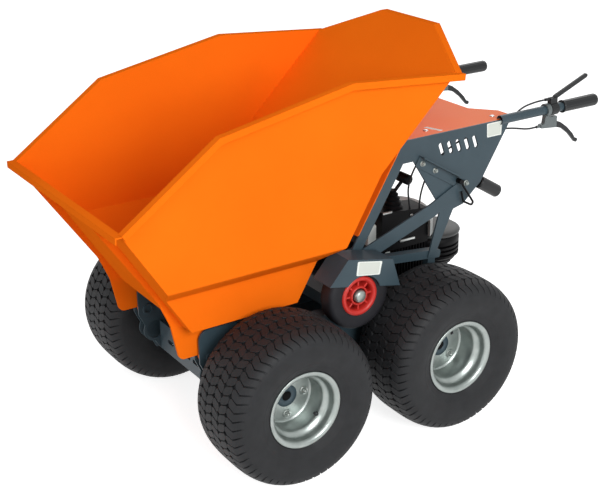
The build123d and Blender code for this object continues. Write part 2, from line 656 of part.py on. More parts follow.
def chassis_rail():
    """Left chassis rail: web with a rounded nose, flanges turned outwards, pivot pin and its collar."""
    low, high = RAIL_Y - RAIL_SHEET / 2, RAIL_Y + RAIL_SHEET / 2
    web = [(RAIL_REAR, RAIL_BOTTOM), (CHEEK_REAR, RAIL_BOTTOM), (CHEEK_REAR, RAIL_TOP), (RAIL_REAR, RAIL_TOP)]
    rail = prism_xz(web, low, high) + extrude_xz(nose_face(CHEEK_REAR, RAIL_BOTTOM), low, high)
    for z in (RAIL_TOP - RAIL_SHEET, RAIL_BOTTOM):
        rail += block((RAIL_REAR, RAIL_FLANGE_FRONT), (low, high + RAIL_FLANGE), (z, z + RAIL_SHEET))
    for x in (AXLE_X, -AXLE_X):
        rail -= rod_y(AXLE_RADIUS - AXLE_FIT, x, TYRE_RADIUS, low, high)
    cheek = LUG_Y - LUG_SHEET - CHEEK_GAP - CHEEK_SHEET
    rail += rod_y(PIVOT_PIN_RADIUS, PIVOT_X, PIVOT_Z, cheek, high + PIVOT_PIN_PROUD)
    return rail


def clevis_cheek():
    """Left inner clevis cheek, with a boss round the pin and an eye below it."""
    outer = LUG_Y - LUG_SHEET - CHEEK_GAP
    inner = outer - CHEEK_SHEET
    face = nose_face(CHEEK_REAR, CROSS_PLATE_BOTTOM) - Pos(*EYE) * Circle(EYE_RADIUS)
    boss = rod_y(PIVOT_BOSS_RADIUS, PIVOT_X, PIVOT_Z, inner - PIVOT_BOSS_RISE, inner)
    return extrude_xz(face, inner, outer) + boss - pivot_hole()


def front_cross_plate():
    """Slotted plate across the chassis, between the inner clevis cheeks."""
    half = LUG_Y - LUG_SHEET - CHEEK_GAP - CHEEK_SHEET
    low, high = CROSS_PLATE_BOTTOM, CROSS_PLATE_TOP
    plate = block((CROSS_PLATE_X, CROSS_PLATE_X + RAIL_SHEET), (-half, half), (low, high))
    slot_face = Plane.YZ * SlotOverall(CROSS_SLOT_LENGTH, CROSS_SLOT_WIDTH)
    slot = extrude(slot_face, amount=RAIL_SHEET + 2 * THROUGH)
    for index in range(CROSS_SLOT_COUNT):
        y = (index - (CROSS_SLOT_COUNT - 1) / 2) * CROSS_SLOT_PITCH
        plate -= Pos(CROSS_PLATE_X - THROUGH, y, CROSS_SLOT_HEIGHT) * slot
    return plate


def floor_pan():
    """Flat pan that closes the chassis between the rails."""
    half = RAIL_Y - RAIL_SHEET / 2
    return block((RAIL_REAR, FLOOR_PAN_FRONT), (-half, half), (RAIL_BOTTOM, RAIL_BOTTOM + FLOOR_PAN_SHEET))


def roller_frame():
    """Beam across the rails with an upright plate and a roller stub axle at each end."""
    inner = UPRIGHT_Y - UPRIGHT_SHEET / 2
    half = BEAM_WIDTH / 2
    beam = block((BEAM_X - half, BEAM_X + half), (-inner, inner), (RAIL_TOP, RAIL_TOP + BEAM_HEIGHT))
    stub_end = ROLLER_Y + ROLLER_RIM_WIDTH / 2
    rear, front = BEAM_X - UPRIGHT_HALF_LENGTH, BEAM_X + UPRIGHT_HALF_LENGTH
    for side in (1, -1):
        outline = [(rear, RAIL_TOP), (front, RAIL_TOP), (front, UPRIGHT_TOP - UPRIGHT_TOP_FALL),
                   (rear, UPRIGHT_TOP)]
        upright = prism_xz(outline, inner, inner + UPRIGHT_SHEET)
        stub = rod_y(ROLLER_BORE_RADIUS - ROLLER_FIT, 0, ROLLER_HEIGHT, inner, stub_end + ROLLER_NUT_LENGTH)
        shoulder_end = ROLLER_Y - ROLLER_RIM_WIDTH / 2 - STUB_GAP
        stub += rod_y(ROLLER_BORE_RADIUS + STUB_SHOULDER, 0, ROLLER_HEIGHT, inner, shoulder_end)
        nut = rod_y(ROLLER_NUT_RADIUS, 0, ROLLER_HEIGHT, stub_end + STUB_GAP, stub_end + ROLLER_NUT_LENGTH)
        beam += on_side(upright + stub + nut, side)
    return beam


def roller_guard():
    """Folded hat-shaped guard over the left roller, tilted down to the rear."""
    top = ROLLER_RADIUS + GUARD_CLEARANCE + GUARD_SHEET
    half_top, half_bottom = GUARD_TOP_LENGTH / 2, GUARD_BOTTOM_LENGTH / 2
    bottom = top - GUARD_HEIGHT
    path = [(half_bottom, bottom), (half_top, top), (-half_top, top), (-half_bottom, bottom)]
    low, high = BRACE_OUTER + GUARD_SEAT_GAP, GUARD_OUTER_Y
    hat = prism_xz(strip(path, GUARD_SHEET), low, high)
    face = prism_xz(path, high - GUARD_SHEET, high)
    tilted = Pos(0, 0, ROLLER_HEIGHT) * Rot(0, -GUARD_TILT, 0) * Pos(-GUARD_SHIFT, 0, 0) * (hat + face)
    return tilted - rod_y(GUARD_NOTCH_RADIUS, 0, ROLLER_HEIGHT, high - GUARD_SHEET - THROUGH, high + THROUGH)


def write_chassis():
    save("front_cross_plate", front_cross_plate())
    save("floor_pan", floor_pan())
    save("roller_frame", roller_frame())
    for side, hand in SIDES:
        save(f"clevis_cheek_{hand}", on_side(clevis_cheek(), side))
        save(f"chassis_rail_{hand}", on_side(chassis_rail(), side))
        save(f"roller_guard_{hand}", on_side(roller_guard(), side))


# ---------------------------------------------------------------- handle plates and rear frame

def handle_plate():
    """Left handle plate: gusset, front leg and rear post round one window, with plain slots."""
    leg = offset_path([(PLATE_FRONT, PLATE_TOP), LEG_FOOT], -LEG_WIDTH)
    leg_way = (leg[1][0] - leg[0][0], leg[1][1] - leg[0][1])
    window_front = line_crossing(leg[0], leg_way, (0, WINDOW_TOP), (1, 0))
    outline = [(PLATE_FRONT, PLATE_TOP), LEG_FOOT, leg[1], window_front, (WINDOW_TOP_REAR, WINDOW_TOP),
               WINDOW_CORNER, (POST_FOOT[0] + POST_WIDTH / 2, POST_FOOT[1]),
               (POST_FOOT[0] - POST_WIDTH / 2, POST_FOOT[1]),
               PLATE_TIP, PLATE_HEEL, PLATE_BACK, (PLATE_REAR, PLATE_TOP)]
    plate = prism_xz(outline, PLATE_INNER, PLATE_OUTER)
    for index in range(PLATE_SLOT_COUNT):
        slot = Plane.XZ * (Rot(0, 0, PLATE_SLOT_SLOPE) * SlotOverall(PLATE_SLOT_LENGTH, PLATE_SLOT_WIDTH))
        x, z = PLATE_SLOT_FIRST[0] - index * PLATE_SLOT_PITCH, PLATE_SLOT_FIRST[1]
        plate -= Pos(x, PLATE_OUTER + THROUGH, z) * extrude(slot, amount=PLATE_SHEET + 2 * THROUGH)
    return plate


def long_brace():
    """Left flat brace from the roller frame up to the bracket."""
    middle = [BRACE_FOOT, BRACE_KNEE, BRACE_HEAD]
    outline = offset_path(middle, BRACE_WIDTH / 2) + offset_path(middle, -BRACE_WIDTH / 2)[::-1]
    return prism_xz(outline, PLATE_OUTER, BRACE_OUTER)


def rear_subframe():
    """Left sloping side tube, on a leg that stands on the rail."""
    fall = math.tan(math.radians(SUBFRAME_SLOPE))
    front_z = 2 * TYRE_RADIUS + SUBFRAME_OVER_TYRE
    rear_z = front_z - (SUBFRAME_FRONT - SUBFRAME_REAR) * fall
    path = [(SUBFRAME_FRONT, front_z), (SUBFRAME_REAR, rear_z)]
    lower, upper = offset_path(path, SUBFRAME_TUBE / 2), offset_path(path, -SUBFRAME_TUBE / 2)
    face = rounded(lower + upper[::-1], (lower[1], SUBFRAME_ROUND), (upper[1], SUBFRAME_ROUND))
    outer = PLATE_INNER
    tube = extrude_xz(face, outer - SUBFRAME_TUBE, outer)
    leg_outer = RAIL_Y + RAIL_FLANGE
    leg_x, leg_y = (SUBFRAME_LEG_X - SUBFRAME_TUBE, SUBFRAME_LEG_X), (leg_outer - SUBFRAME_TUBE, leg_outer)
    leg = block(leg_x, leg_y, (RAIL_TOP, rear_z))
    return tube + leg


def angle_bracket():
    """Left angle bracket on the handle plate's outer face."""
    way = (BRACKET_END[0] - BRACKET_START[0], BRACKET_END[1] - BRACKET_START[1])
    path = [BRACKET_START, (BRACKET_START[0] + way[0], BRACKET_START[1] + way[1])]
    leg = prism_xz(strip(path, BRACKET_LEG), PLATE_OUTER, PLATE_OUTER + BRACKET_SHEET)
    ledge = prism_xz(strip(path, BRACKET_SHEET), PLATE_OUTER, PLATE_OUTER + BRACKET_LEDGE)
    return leg + ledge - long_brace()


def write_rear_frame():
    save("rear_subframe", Compound([on_side(rear_subframe(), side) for side, hand in SIDES]))
    save("long_braces", Compound([on_side(long_brace(), side) for side, hand in SIDES]))
    save("angle_brackets", Compound([on_side(angle_bracket(), side) for side, hand in SIDES]))
    for side, hand in SIDES:
        save(f"handle_plate_{hand}", on_side(handle_plate(), side))


# ---------------------------------------------------------------- handles and controls

def handle_tube():
    """Left handle tube, slotted over the rear corner of its plate."""
    rear, front = -GRIP_REACH + GRIP_END_WALL, HANDLE_TUBE_FRONT
    tube = rod_x(HANDLE_TUBE_RADIUS, HANDLE_Y, HANDLE_Z, rear, front)
    tube -= rod_x(HANDLE_TUBE_RADIUS - HANDLE_TUBE_WALL, HANDLE_Y, HANDLE_Z, rear - THROUGH, front + THROUGH)
    return tube - handle_plate() - engine_cover()


def grip():
    """Left rubber grip with a rounded end."""
    solid = rod_x(GRIP_RADIUS, HANDLE_Y, HANDLE_Z, -GRIP_REACH, -GRIP_REACH + GRIP_LENGTH)
    solid = fillet(solid.edges().sort_by(Axis.X)[0], GRIP_ROUND)
    bore = rod_x(HANDLE_TUBE_RADIUS + GRIP_BORE_CLEARANCE, HANDLE_Y, HANDLE_Z,
                 -GRIP_REACH + GRIP_END_WALL - GRIP_BORE_CLEARANCE, -GRIP_REACH + GRIP_LENGTH + THROUGH)
    return solid - bore


def from_clamp(points):
    """Points of (x, z) given from the lever clamp's front on the handle's axis."""
    return [(CLAMP_X + x, HANDLE_Z + z) for x, z in points]


def clamp_bore():
    """Cylinder that opens the controls' rings round the handle tube."""
    radius = HANDLE_TUBE_RADIUS + GRIP_BORE_CLEARANCE
    return rod_x(radius, HANDLE_Y, HANDLE_Z, -GRIP_REACH, CLAMP_X + GRIP_LENGTH)


def lever_bracket():
    """Left lever bracket: ring round the tube, cast arm below it and the ferrule that the cable leaves."""
    ring = rod_x(HANDLE_TUBE_RADIUS + CLAMP_WALL, HANDLE_Y, HANDLE_Z, CLAMP_X - CLAMP_LENGTH, CLAMP_X)
    corners = from_clamp(CASTING)
    face = rounded(corners, *[(spot, CASTING_ROUND) for spot in corners[2:7]])
    arm = extrude_xz(face, HANDLE_Y - CASTING_THICKNESS / 2, HANDLE_Y + CASTING_THICKNESS / 2)
    nose, ferrule_z = corners[3][0], HANDLE_Z - FERRULE_DROP
    ferrule = rod_x(FERRULE_RADIUS, HANDLE_Y, ferrule_z, nose - FERRULE_LENGTH, nose + FERRULE_LENGTH)
    return ring + arm + ferrule - clamp_bore()


def hand_lever():
    """Left clutch lever: curved blade behind its bracket, with a ball at its end."""
    upper, lower = from_clamp(BLADE_UPPER), from_clamp(BLADE_LOWER)
    rounds = [(spot, BLADE_ROUND) for spot in upper[1:-1] + lower[1:-1]]
    half = BLADE_THICKNESS / 2
    blade = extrude_xz(rounded(upper + lower, *rounds), HANDLE_Y - half, HANDLE_Y + half)
    return blade + rod_y(BLADE_BALL_RADIUS, *from_clamp([BLADE_BALL])[0], HANDLE_Y - half, HANDLE_Y + half)


def throttle_lever():
    """Thumb lever on a ring round the left tube, with its pivot body and cable stop."""
    low, high = THROTTLE_RING
    ring = rod_x(HANDLE_TUBE_RADIUS + CLAMP_WALL, HANDLE_Y, HANDLE_Z, CLAMP_X + low, CLAMP_X + high)
    pivot, tip = from_clamp([THROTTLE_PIVOT, THROTTLE_TIP])
    half = THROTTLE_BODY_HALF
    body = block((CLAMP_X + low, CLAMP_X + high), (HANDLE_Y - half, HANDLE_Y + half), (HANDLE_Z, pivot[1]))
    slope = math.degrees(math.atan2(tip[1] - pivot[1], tip[0] - pivot[0]))
    middle = Pos((pivot[0] + tip[0]) / 2, (pivot[1] + tip[1]) / 2)
    face = middle * Rot(0, 0, slope) * SlotCenterToCenter(math.dist(pivot, tip), THROTTLE_WIDTH)
    blade = extrude_xz(face, HANDLE_Y - half / 2, HANDLE_Y + half / 2)
    stop = rod_x(THROTTLE_STOP_RADIUS, HANDLE_Y, HANDLE_Z + THROTTLE_STOP_RISE, CLAMP_X + low, CLAMP_X)
    return ring + body + blade + stop - clamp_bore()


def latch_lever():
    """Skip latch lever behind the left plate: pin, flat bar and round grip."""
    inner = PLATE_INNER - LATCH_INSET
    path = [LATCH_PIVOT, LATCH_GRIP_START]
    outline = offset_path(path, LATCH_BAR_WIDTH / 2) + offset_path(path, -LATCH_BAR_WIDTH / 2)[::-1]
    bar = prism_xz(outline, inner, inner + LATCH_BAR_SHEET)
    pin = rod_y(LATCH_PIN_RADIUS, *LATCH_PIVOT, inner, PLATE_INNER)
    handle = rod_between(LATCH_GRIP_RADIUS, LATCH_GRIP_START, LATCH_GRIP_END, inner + LATCH_BAR_SHEET / 2)
    return bar + pin + chamfer(handle.edges().filter_by(GeomType.CIRCLE), LATCH_GRIP_BEVEL)


def latch_strap():
    """Bent wire loop that hangs from the latch's pin, outside the left brace."""
    points = [(x, STRAP_Y, z) for x, z in STRAP_PATH]
    path = FilletPolyline(*points, radius=STRAP_ROUND)
    wire = sweep(Plane(origin=points[0], z_dir=path % 0) * Circle(STRAP_RADIUS), path=path)
    stub = rod_y(LATCH_PIN_RADIUS, *LATCH_PIVOT, PLATE_OUTER + BRACKET_SHEET, STRAP_Y + LATCH_PIN_RADIUS)
    return wire + stub


def cable(route):
    """Round cable along a route, each of its corners an arc as large as the two runs allow."""
    runs = [Vector(*end) - Vector(*start) for start, end in zip(route, route[1:])]
    radii = []
    for before, after in zip(runs, runs[1:]):
        half_turn = math.radians(before.get_angle(after)) / 2
        radii.append(CABLE_ARC_SHARE * min(before.length, after.length) / math.tan(half_turn))
    print("cable radii", [round(radius) for radius in radii])
    path = FilletPolyline(*route, radius=radii)
    return sweep(Plane(origin=route[0], z_dir=path % 0) * Circle(CABLE_RADIUS), path=path)


def write_handles():
    for side, hand in SIDES:
        save(f"handle_tube_{hand}", on_side(handle_tube(), side))
        save(f"grip_{hand}", on_side(grip(), side))
        save(f"lever_bracket_{hand}", on_side(lever_bracket(), side))
        save(f"hand_lever_{hand}", on_side(hand_lever(), side))
    save("throttle_lever", throttle_lever())
    save("latch_lever", latch_lever())
    save("latch_strap", latch_strap())
    engine = engine_block()
    save("clutch_cable_left", cable(CLUTCH_ROUTE + CLUTCH_TAIL_LEFT) - engine)
    save("clutch_cable_right", mirror(cable(CLUTCH_ROUTE + CLUTCH_TAIL_RIGHT), about=Plane.XZ) - engine)
    save("throttle_cable", cable(THROTTLE_ROUTE) - engine)


# ---------------------------------------------------------------- engine deck

def engine_cover():
    """Painted sheet cover between the handle plates, with a cut-back rear edge."""
    half = PLATE_INNER
    right = [(COVER_FRONT, half), (COVER_EAR_REAR + COVER_EAR_CORNER[0], half),
             (COVER_EAR_REAR, half - COVER_EAR_CORNER[1]), (COVER_EAR_REAR, COVER_EAR_Y),
             (COVER_REAR, COVER_STEP_Y)]
    outline = right + [(x, -y) for x, y in right[::-1]]
    sheet = prism_xy(outline, PLATE_TOP - COVER_SHEET, PLATE_TOP)
    lip_x, lip_y = (COVER_REAR, COVER_REAR + COVER_SHEET), (-COVER_STEP_Y, COVER_STEP_Y)
    lip = block(lip_x, lip_y, (PLATE_TOP - COVER_LIP, PLATE_TOP))
    return sheet + lip


def engine_shield():
    """Painted sheet between skip and engine, against the front legs of both handle plates."""
    run = (LEG_FOOT[0] - PLATE_FRONT) / (PLATE_TOP - LEG_FOOT[1])
    foot = (PLATE_FRONT + (PLATE_TOP - SHIELD_BOTTOM) * run, SHIELD_BOTTOM)
    sheet = prism_xz(strip([(PLATE_FRONT, PLATE_TOP), foot], SHIELD_SHEET), -PLATE_OUTER, PLATE_OUTER)
    ends = sheet.edges().filter_by(GeomType.LINE).filter_by(lambda edge: abs(edge.length - SHIELD_SHEET) < 0.01)
    return fillet(ends.sort_by(Axis.Z)[:2], SHIELD_ROUND)


def engine_deck():
    """Deck plate between the rails that carries the engine."""
    half = RAIL_Y - RAIL_SHEET / 2
    return block((RAIL_REAR, ENGINE_DECK_FRONT), (-half, half), (ENGINE_DECK, ENGINE_DECK + ENGINE_SHEET))


def engine_block():
    """Crankcase on the deck plate, with the sloping shroud on its left side, as one mass."""
    crankcase = block((ENGINE_REAR, ENGINE_FRONT), (-ENGINE_HALF_WIDTH, ENGINE_HALF_WIDTH),
                      (ENGINE_DECK + ENGINE_SHEET, ENGINE_TOP))
    side = [SHROUD_FRONT, (SHROUD_FRONT[0], SHROUD_BOTTOM), (SHROUD_REAR[0], SHROUD_BOTTOM), SHROUD_REAR]
    return crankcase + prism_xz(side, *SHROUD_Y)


def engine_cowl():
    """Rounded grey cowl on top of the crankcase, cut back beside the shroud."""
    cowl = rod_z(COWL_RADIUS, COWL, ENGINE_TOP, COWL_TOP)
    beside_y = (SHROUD_Y[0], COWL[1] + COWL_RADIUS)
    beside = block((SHROUD_REAR[0], ENGINE_FRONT), beside_y, (ENGINE_TOP, COWL_TOP))
    return fillet(cowl.edges().sort_by(Axis.Z)[-1], COWL_ROUND) - beside


def recoil_housing():
    """Round housing at the rear of the engine, with sloping louvres round its side."""
    outline = [(0, HOUSING_BOTTOM)]
    for index in reversed(range(LOUVRE_COUNT)):
        radius = HOUSING_RADIUS - LOUVRE_TAPER * max(0, index - LOUVRE_STRAIGHT_COUNT + 1)
        neck = radius - LOUVRE_DEPTH
        top = LOUVRE_TOP - index * LOUVRE_PITCH
        outline += [(neck, top - LOUVRE_PITCH), (radius, top - LOUVRE_PITCH / 2), (radius, top)]
    crown = (HOUSING_RADIUS, HOUSING_TOP)
    outline += [crown, (0, HOUSING_TOP)]
    face = rounded(outline, (crown, HOUSING_ROUND))
    return Pos(*HOUSING, 0) * revolve(Plane.XZ * face, axis=Axis.Z) - engine_block()


def gear_lever():
    """Gear lever: pleated boot on the shroud, stem and cross handle."""
    low = SHROUD_REAR[1]
    outline = [(0, low), (BOOT_RADIUS, low)]
    for pleat in range(1, BOOT_PLEATS + 1):
        for share, sunk in (((pleat - 0.5) / BOOT_PLEATS, BOOT_PLEAT_DEPTH), (pleat / BOOT_PLEATS, 0)):
            radius = BOOT_RADIUS + (BOOT_NECK_RADIUS - BOOT_RADIUS) * share - sunk
            outline.append((radius, low + (BOOT_TOP - low) * share))
    outline.append((0, BOOT_TOP))
    boot = Pos(*BOOT, 0) * revolve(Plane.XZ * make_face(Polyline(*outline, close=True)), axis=Axis.Z)
    stem = rod_between(STEM_RADIUS, (BOOT[0], BOOT_TOP - BOOT_NECK_RADIUS), KNOB, BOOT[1])
    knob = rod_y(KNOB_RADIUS, *KNOB, BOOT[1] - KNOB_LENGTH / 2, BOOT[1] + KNOB_LENGTH / 2)
    return boot - engine_block() + stem + chamfer(knob.edges().filter_by(GeomType.CIRCLE), KNOB_BEVEL)


def write_engine():
    save("engine_cover", engine_cover())
    save("engine_shield", engine_shield())
    save("engine_deck", engine_deck())
    save("engine_block", engine_block())
    save("engine_cowl", engine_cowl())
    save("recoil_housing", recoil_housing())
    save("gear_lever", gear_lever())


os.makedirs(OUT, exist_ok=True)
write_skip()
write_wheels()
write_rollers()
write_chassis()
write_rear_frame()
write_handles()
write_engine()
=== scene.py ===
import math

import bmesh
import bpy
import numpy as np
from mathutils import Matrix, Vector


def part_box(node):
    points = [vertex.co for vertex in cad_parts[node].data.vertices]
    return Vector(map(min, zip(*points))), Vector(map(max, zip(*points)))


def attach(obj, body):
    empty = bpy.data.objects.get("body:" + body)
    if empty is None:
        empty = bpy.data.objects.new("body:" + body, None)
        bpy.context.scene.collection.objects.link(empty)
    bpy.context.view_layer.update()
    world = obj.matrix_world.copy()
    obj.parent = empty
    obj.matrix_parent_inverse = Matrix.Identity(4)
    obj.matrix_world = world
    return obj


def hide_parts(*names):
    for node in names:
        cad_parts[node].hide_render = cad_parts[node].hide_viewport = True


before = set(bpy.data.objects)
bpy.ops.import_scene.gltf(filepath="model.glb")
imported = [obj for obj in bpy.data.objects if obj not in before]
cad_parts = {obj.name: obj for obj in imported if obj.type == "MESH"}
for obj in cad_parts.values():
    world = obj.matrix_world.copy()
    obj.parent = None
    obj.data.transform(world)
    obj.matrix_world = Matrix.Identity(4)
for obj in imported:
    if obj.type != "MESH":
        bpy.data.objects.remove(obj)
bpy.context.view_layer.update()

# Looks of the pedestrian skip dumper. Lengths are in millimetres in the CAD part's own frame and
# become metres where a mesh is made. +X is forward, +Y is the machine's left and +Z is up.

MM = 0.001
SIDES = ((1, "left"), (-1, "right"))
ENDS = ("front", "rear")

# ---------------------------------------------------------------- camera

CAMERA_PLACE = (2.1137, 3.1229, 2.0615)
CAMERA_YAW = -122.841
CAMERA_PITCH = 22.656
CAMERA_ROLL = -0.789
CAMERA_LENS = 74.157
SENSOR = 36.0


def make_camera():
    """Camera at the photograph's angle, with no shift and no depth of field."""
    yaw, pitch, roll = (math.radians(angle) for angle in (CAMERA_YAW, CAMERA_PITCH, CAMERA_ROLL))
    ahead = Vector((math.cos(yaw) * math.cos(pitch), math.sin(yaw) * math.cos(pitch), -math.sin(pitch)))
    right = ahead.cross(Vector((0, 0, 1))).normalized()
    up = right.cross(ahead)
    turned_right = right * math.cos(roll) + up * math.sin(roll)
    turned_up = up * math.cos(roll) - right * math.sin(roll)
    turn = Matrix((turned_right, turned_up, -ahead)).transposed().to_4x4()
    data = bpy.data.cameras.new("camera")
    data.lens = CAMERA_LENS
    data.sensor_width = SENSOR
    camera = bpy.data.objects.new("camera", data)
    camera.matrix_world = Matrix.Translation(CAMERA_PLACE) @ turn
    bpy.context.scene.collection.objects.link(camera)
    bpy.context.scene.camera = camera


# ---------------------------------------------------------------- shaders

WHITE = (1.0, 1.0, 1.0, 1.0)
BEVEL_SAMPLES = 4


def linear(colour):
    """Scene-linear value of an sRGB colour given as 0 to 255, with full alpha."""
    return tuple(c / 255 / 12.92 if c <= 10 else ((c / 255 + 0.055) / 1.055) ** 2.4 for c in colour) + (1.0,)


def new_shader(name, colour, roughness, metallic=0.0, **sockets):
    """Material, its node tree and its principled shader. Spaces in socket names are written as _."""
    material = bpy.data.materials.new(name)
    material.use_nodes = True
    tree = material.node_tree
    shader = tree.nodes["Principled BSDF"]
    shader.inputs["Base Color"].default_value = linear(colour)
    shader.inputs["Roughness"].default_value = roughness
    shader.inputs["Metallic"].default_value = metallic
    for socket, value in sockets.items():
        shader.inputs[socket.replace("_", " ")].default_value = value
    return material, tree, shader


def noise(tree, scale, detail=3.0):
    """Noise from 0 to 1 in the object's own coordinates."""
    place = tree.nodes.new("ShaderNodeTexCoord")
    node = tree.nodes.new("ShaderNodeTexNoise")
    tree.links.new(place.outputs["Object"], node.inputs["Vector"])
    node.inputs["Scale"].default_value = scale
    node.inputs["Detail"].default_value = detail
    return node.outputs["Fac"]


def ramp(tree, value, *stops):
    """Colour ramp over a value. Each stop is (place, colour)."""
    node = tree.nodes.new("ShaderNodeValToRGB")
    while len(node.color_ramp.elements) < len(stops):
        node.color_ramp.elements.new(1.0)
    for element, (place, colour) in zip(node.color_ramp.elements, stops):
        element.position = place
        element.color = linear(colour)
    tree.links.new(value, node.inputs["Fac"])
    return node.outputs["Color"]


def spread(tree, value, low, high):
    """A value from 0 to 1 mapped to a range."""
    node = tree.nodes.new("ShaderNodeMapRange")
    node.inputs["To Min"].default_value = low
    node.inputs["To Max"].default_value = high
    tree.links.new(value, node.inputs["Value"])
    return node.outputs["Result"]


def softened(tree, shader, edge, height, strength, depth=0.2):
    """Shades edges as rounded by a radius, with a bump on top. edge and depth are in millimetres."""
    bevel = tree.nodes.new("ShaderNodeBevel")
    bevel.samples = BEVEL_SAMPLES
    bevel.inputs["Radius"].default_value = edge * MM
    bump = tree.nodes.new("ShaderNodeBump")
    bump.inputs["Strength"].default_value = strength
    bump.inputs["Distance"].default_value = depth * MM
    tree.links.new(height, bump.inputs["Height"])
    tree.links.new(bevel.outputs["Normal"], bump.inputs["Normal"])
    tree.links.new(bump.outputs["Normal"], shader.inputs["Normal"])


def orange_paint(name, gloss):
    """Powder coat with a faint orange peel."""
    material, tree, shader = new_shader(name, (240, 110, 19), 0.42, Specular_IOR_Level=gloss)
    mottle = ramp(tree, noise(tree, 3.0), (0.3, (237, 107, 18)), (0.7, (243, 113, 20)))
    tree.links.new(mottle, shader.inputs["Base Color"])
    tree.links.new(spread(tree, noise(tree, 7.0, 4.0), 0.38, 0.48), shader.inputs["Roughness"])
    softened(tree, shader, 1.6, noise(tree, 420.0, 1.0), 0.05)
    return material


def frame_paint():
    """Dark blue-grey powder coat, satin and slightly pebbled."""
    material, tree, shader = new_shader("frame paint", (50, 66, 74), 0.42, Specular_IOR_Level=0.35)
    mottle = ramp(tree, noise(tree, 9.0), (0.3, (46, 62, 70)), (0.7, (54, 70, 78)))
    tree.links.new(mottle, shader.inputs["Base Color"])
    tree.links.new(spread(tree, noise(tree, 14.0, 4.0), 0.38, 0.5), shader.inputs["Roughness"])
    softened(tree, shader, 1.2, noise(tree, 600.0, 1.0), 0.12)
    return material


def galvanised():
    """Silver-painted steel with a soft cloudiness."""
    material, tree, shader = new_shader("galvanised steel", (152, 160, 157), 0.28, 0.8)
    cloud = noise(tree, 30.0, 4.0)
    mottle = ramp(tree, cloud, (0.3, (142, 150, 147)), (0.7, (162, 169, 166)))
    tree.links.new(mottle, shader.inputs["Base Color"])
    tree.links.new(spread(tree, cloud, 0.28, 0.4), shader.inputs["Roughness"])
    softened(tree, shader, 1.0, noise(tree, 500.0, 2.0), 0.06, depth=0.1)
    return material


def rubber(name, colour):
    """Matt rubber with a thin film of dust."""
    material, tree, shader = new_shader(name, colour, 0.6, Specular_IOR_Level=0.25)
    darker, dusty = (tuple(share * c for c in colour) for share in (0.92, 1.12))
    dust = ramp(tree, noise(tree, 24.0, 5.0), (0.35, darker), (0.7, dusty))
    tree.links.new(dust, shader.inputs["Base Color"])
    tree.links.new(spread(tree, noise(tree, 40.0, 4.0), 0.52, 0.68), shader.inputs["Roughness"])
    softened(tree, shader, 0.8, noise(tree, 900.0, 2.0), 0.15)
    return material


def plain(name, colour, roughness, metallic=0.0, edge=0.8, grain=500.0, strength=0.05, **sockets):
    """Finish with softened edges, a faint grain and a slightly uneven gloss."""
    material, tree, shader = new_shader(name, colour, roughness, metallic, **sockets)
    tree.links.new(spread(tree, noise(tree, 18.0, 4.0), 0.85 * roughness, 1.15 * roughness),
                   shader.inputs["Roughness"])
    softened(tree, shader, edge, noise(tree, grain, 2.0), strength)
    return material


ORANGE = orange_paint("orange paint", 0.0)
COVER_ORANGE = orange_paint("cover orange", 0.12)
FRAME_PAINT = frame_paint()
GALVANISED = galvanised()
TYRE_RUBBER = rubber("tyre rubber", (30, 31, 33))
ROLLER_RUBBER = rubber("roller rubber", (27, 27, 31))
RED_PLASTIC = plain("red plastic", (188, 44, 37), 0.38, Specular_IOR_Level=0.4)
BLACK_PLASTIC = plain("black plastic", (22, 24, 26), 0.42, strength=0.12, Specular_IOR_Level=0.35)
ENGINE_BLACK = plain("engine black", (8, 8, 10), 0.5, Specular_IOR_Level=0.12)
GREY_PLASTIC = plain("grey plastic", (178, 182, 180), 0.45, strength=0.12)
LID_GREY = plain("lid grey", (48, 50, 50), 0.45, strength=0.12)
ZINC = plain("zinc plate", (205, 208, 206), 0.28, 0.85)
LEVER_CAST = plain("lever casting", (98, 105, 106), 0.42, 0.4, grain=300.0, strength=0.12)
NUT_STEEL = plain("nut steel", (150, 156, 152), 0.38, 0.7)
CAST_METAL = plain("cast metal", (228, 234, 230), 0.5, 0.2, grain=260.0, strength=0.2)
HUB_METAL = plain("hub metal", (48, 64, 72), 0.42, 0.2)
# Near-black that stands in for the shade inside the wheel hubs' bores and the roller hubs' recesses: painted
# shade.
SHADOW_BLACK = plain("painted shade black", (12, 12, 13), 0.8, Specular_IOR_Level=0.2)
LABEL_WHITE = plain("label white", (226, 230, 224), 0.5, edge=0.2)
LABEL_GREY = plain("label grey", (204, 208, 200), 0.5, edge=0.2)

# Material of each CAD node that stays in sight, by the start of the node's name.
NODE_FINISHES = (
    (ORANGE, ("skip_",)),
    (COVER_ORANGE, ("engine_cover", "engine_shield")),
    (FRAME_PAINT, ("chassis_", "clevis_", "front_cross", "floor_pan", "axle_", "roller_frame", "roller_guard",
                   "handle_plate", "long_braces", "angle_brackets", "rear_subframe", "handle_tube",
                   "engine_deck")),
    (BLACK_PLASTIC, ("hand_lever", "throttle", "latch_lever", "clutch_cable")),
    (ENGINE_BLACK, ("engine_block", "latch_strap", "gear_lever", "recoil_housing")),
    (GREY_PLASTIC, ("engine_cowl",)),
    (LEVER_CAST, ("lever_bracket",)),
)


def finish_nodes():
    """Gives every CAD node that stays its material."""
    for name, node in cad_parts.items():
        for material, starts in NODE_FINISHES:
            if name.startswith(starts):
                node.data.materials.clear()
                node.data.materials.append(material)


# ---------------------------------------------------------------- meshes

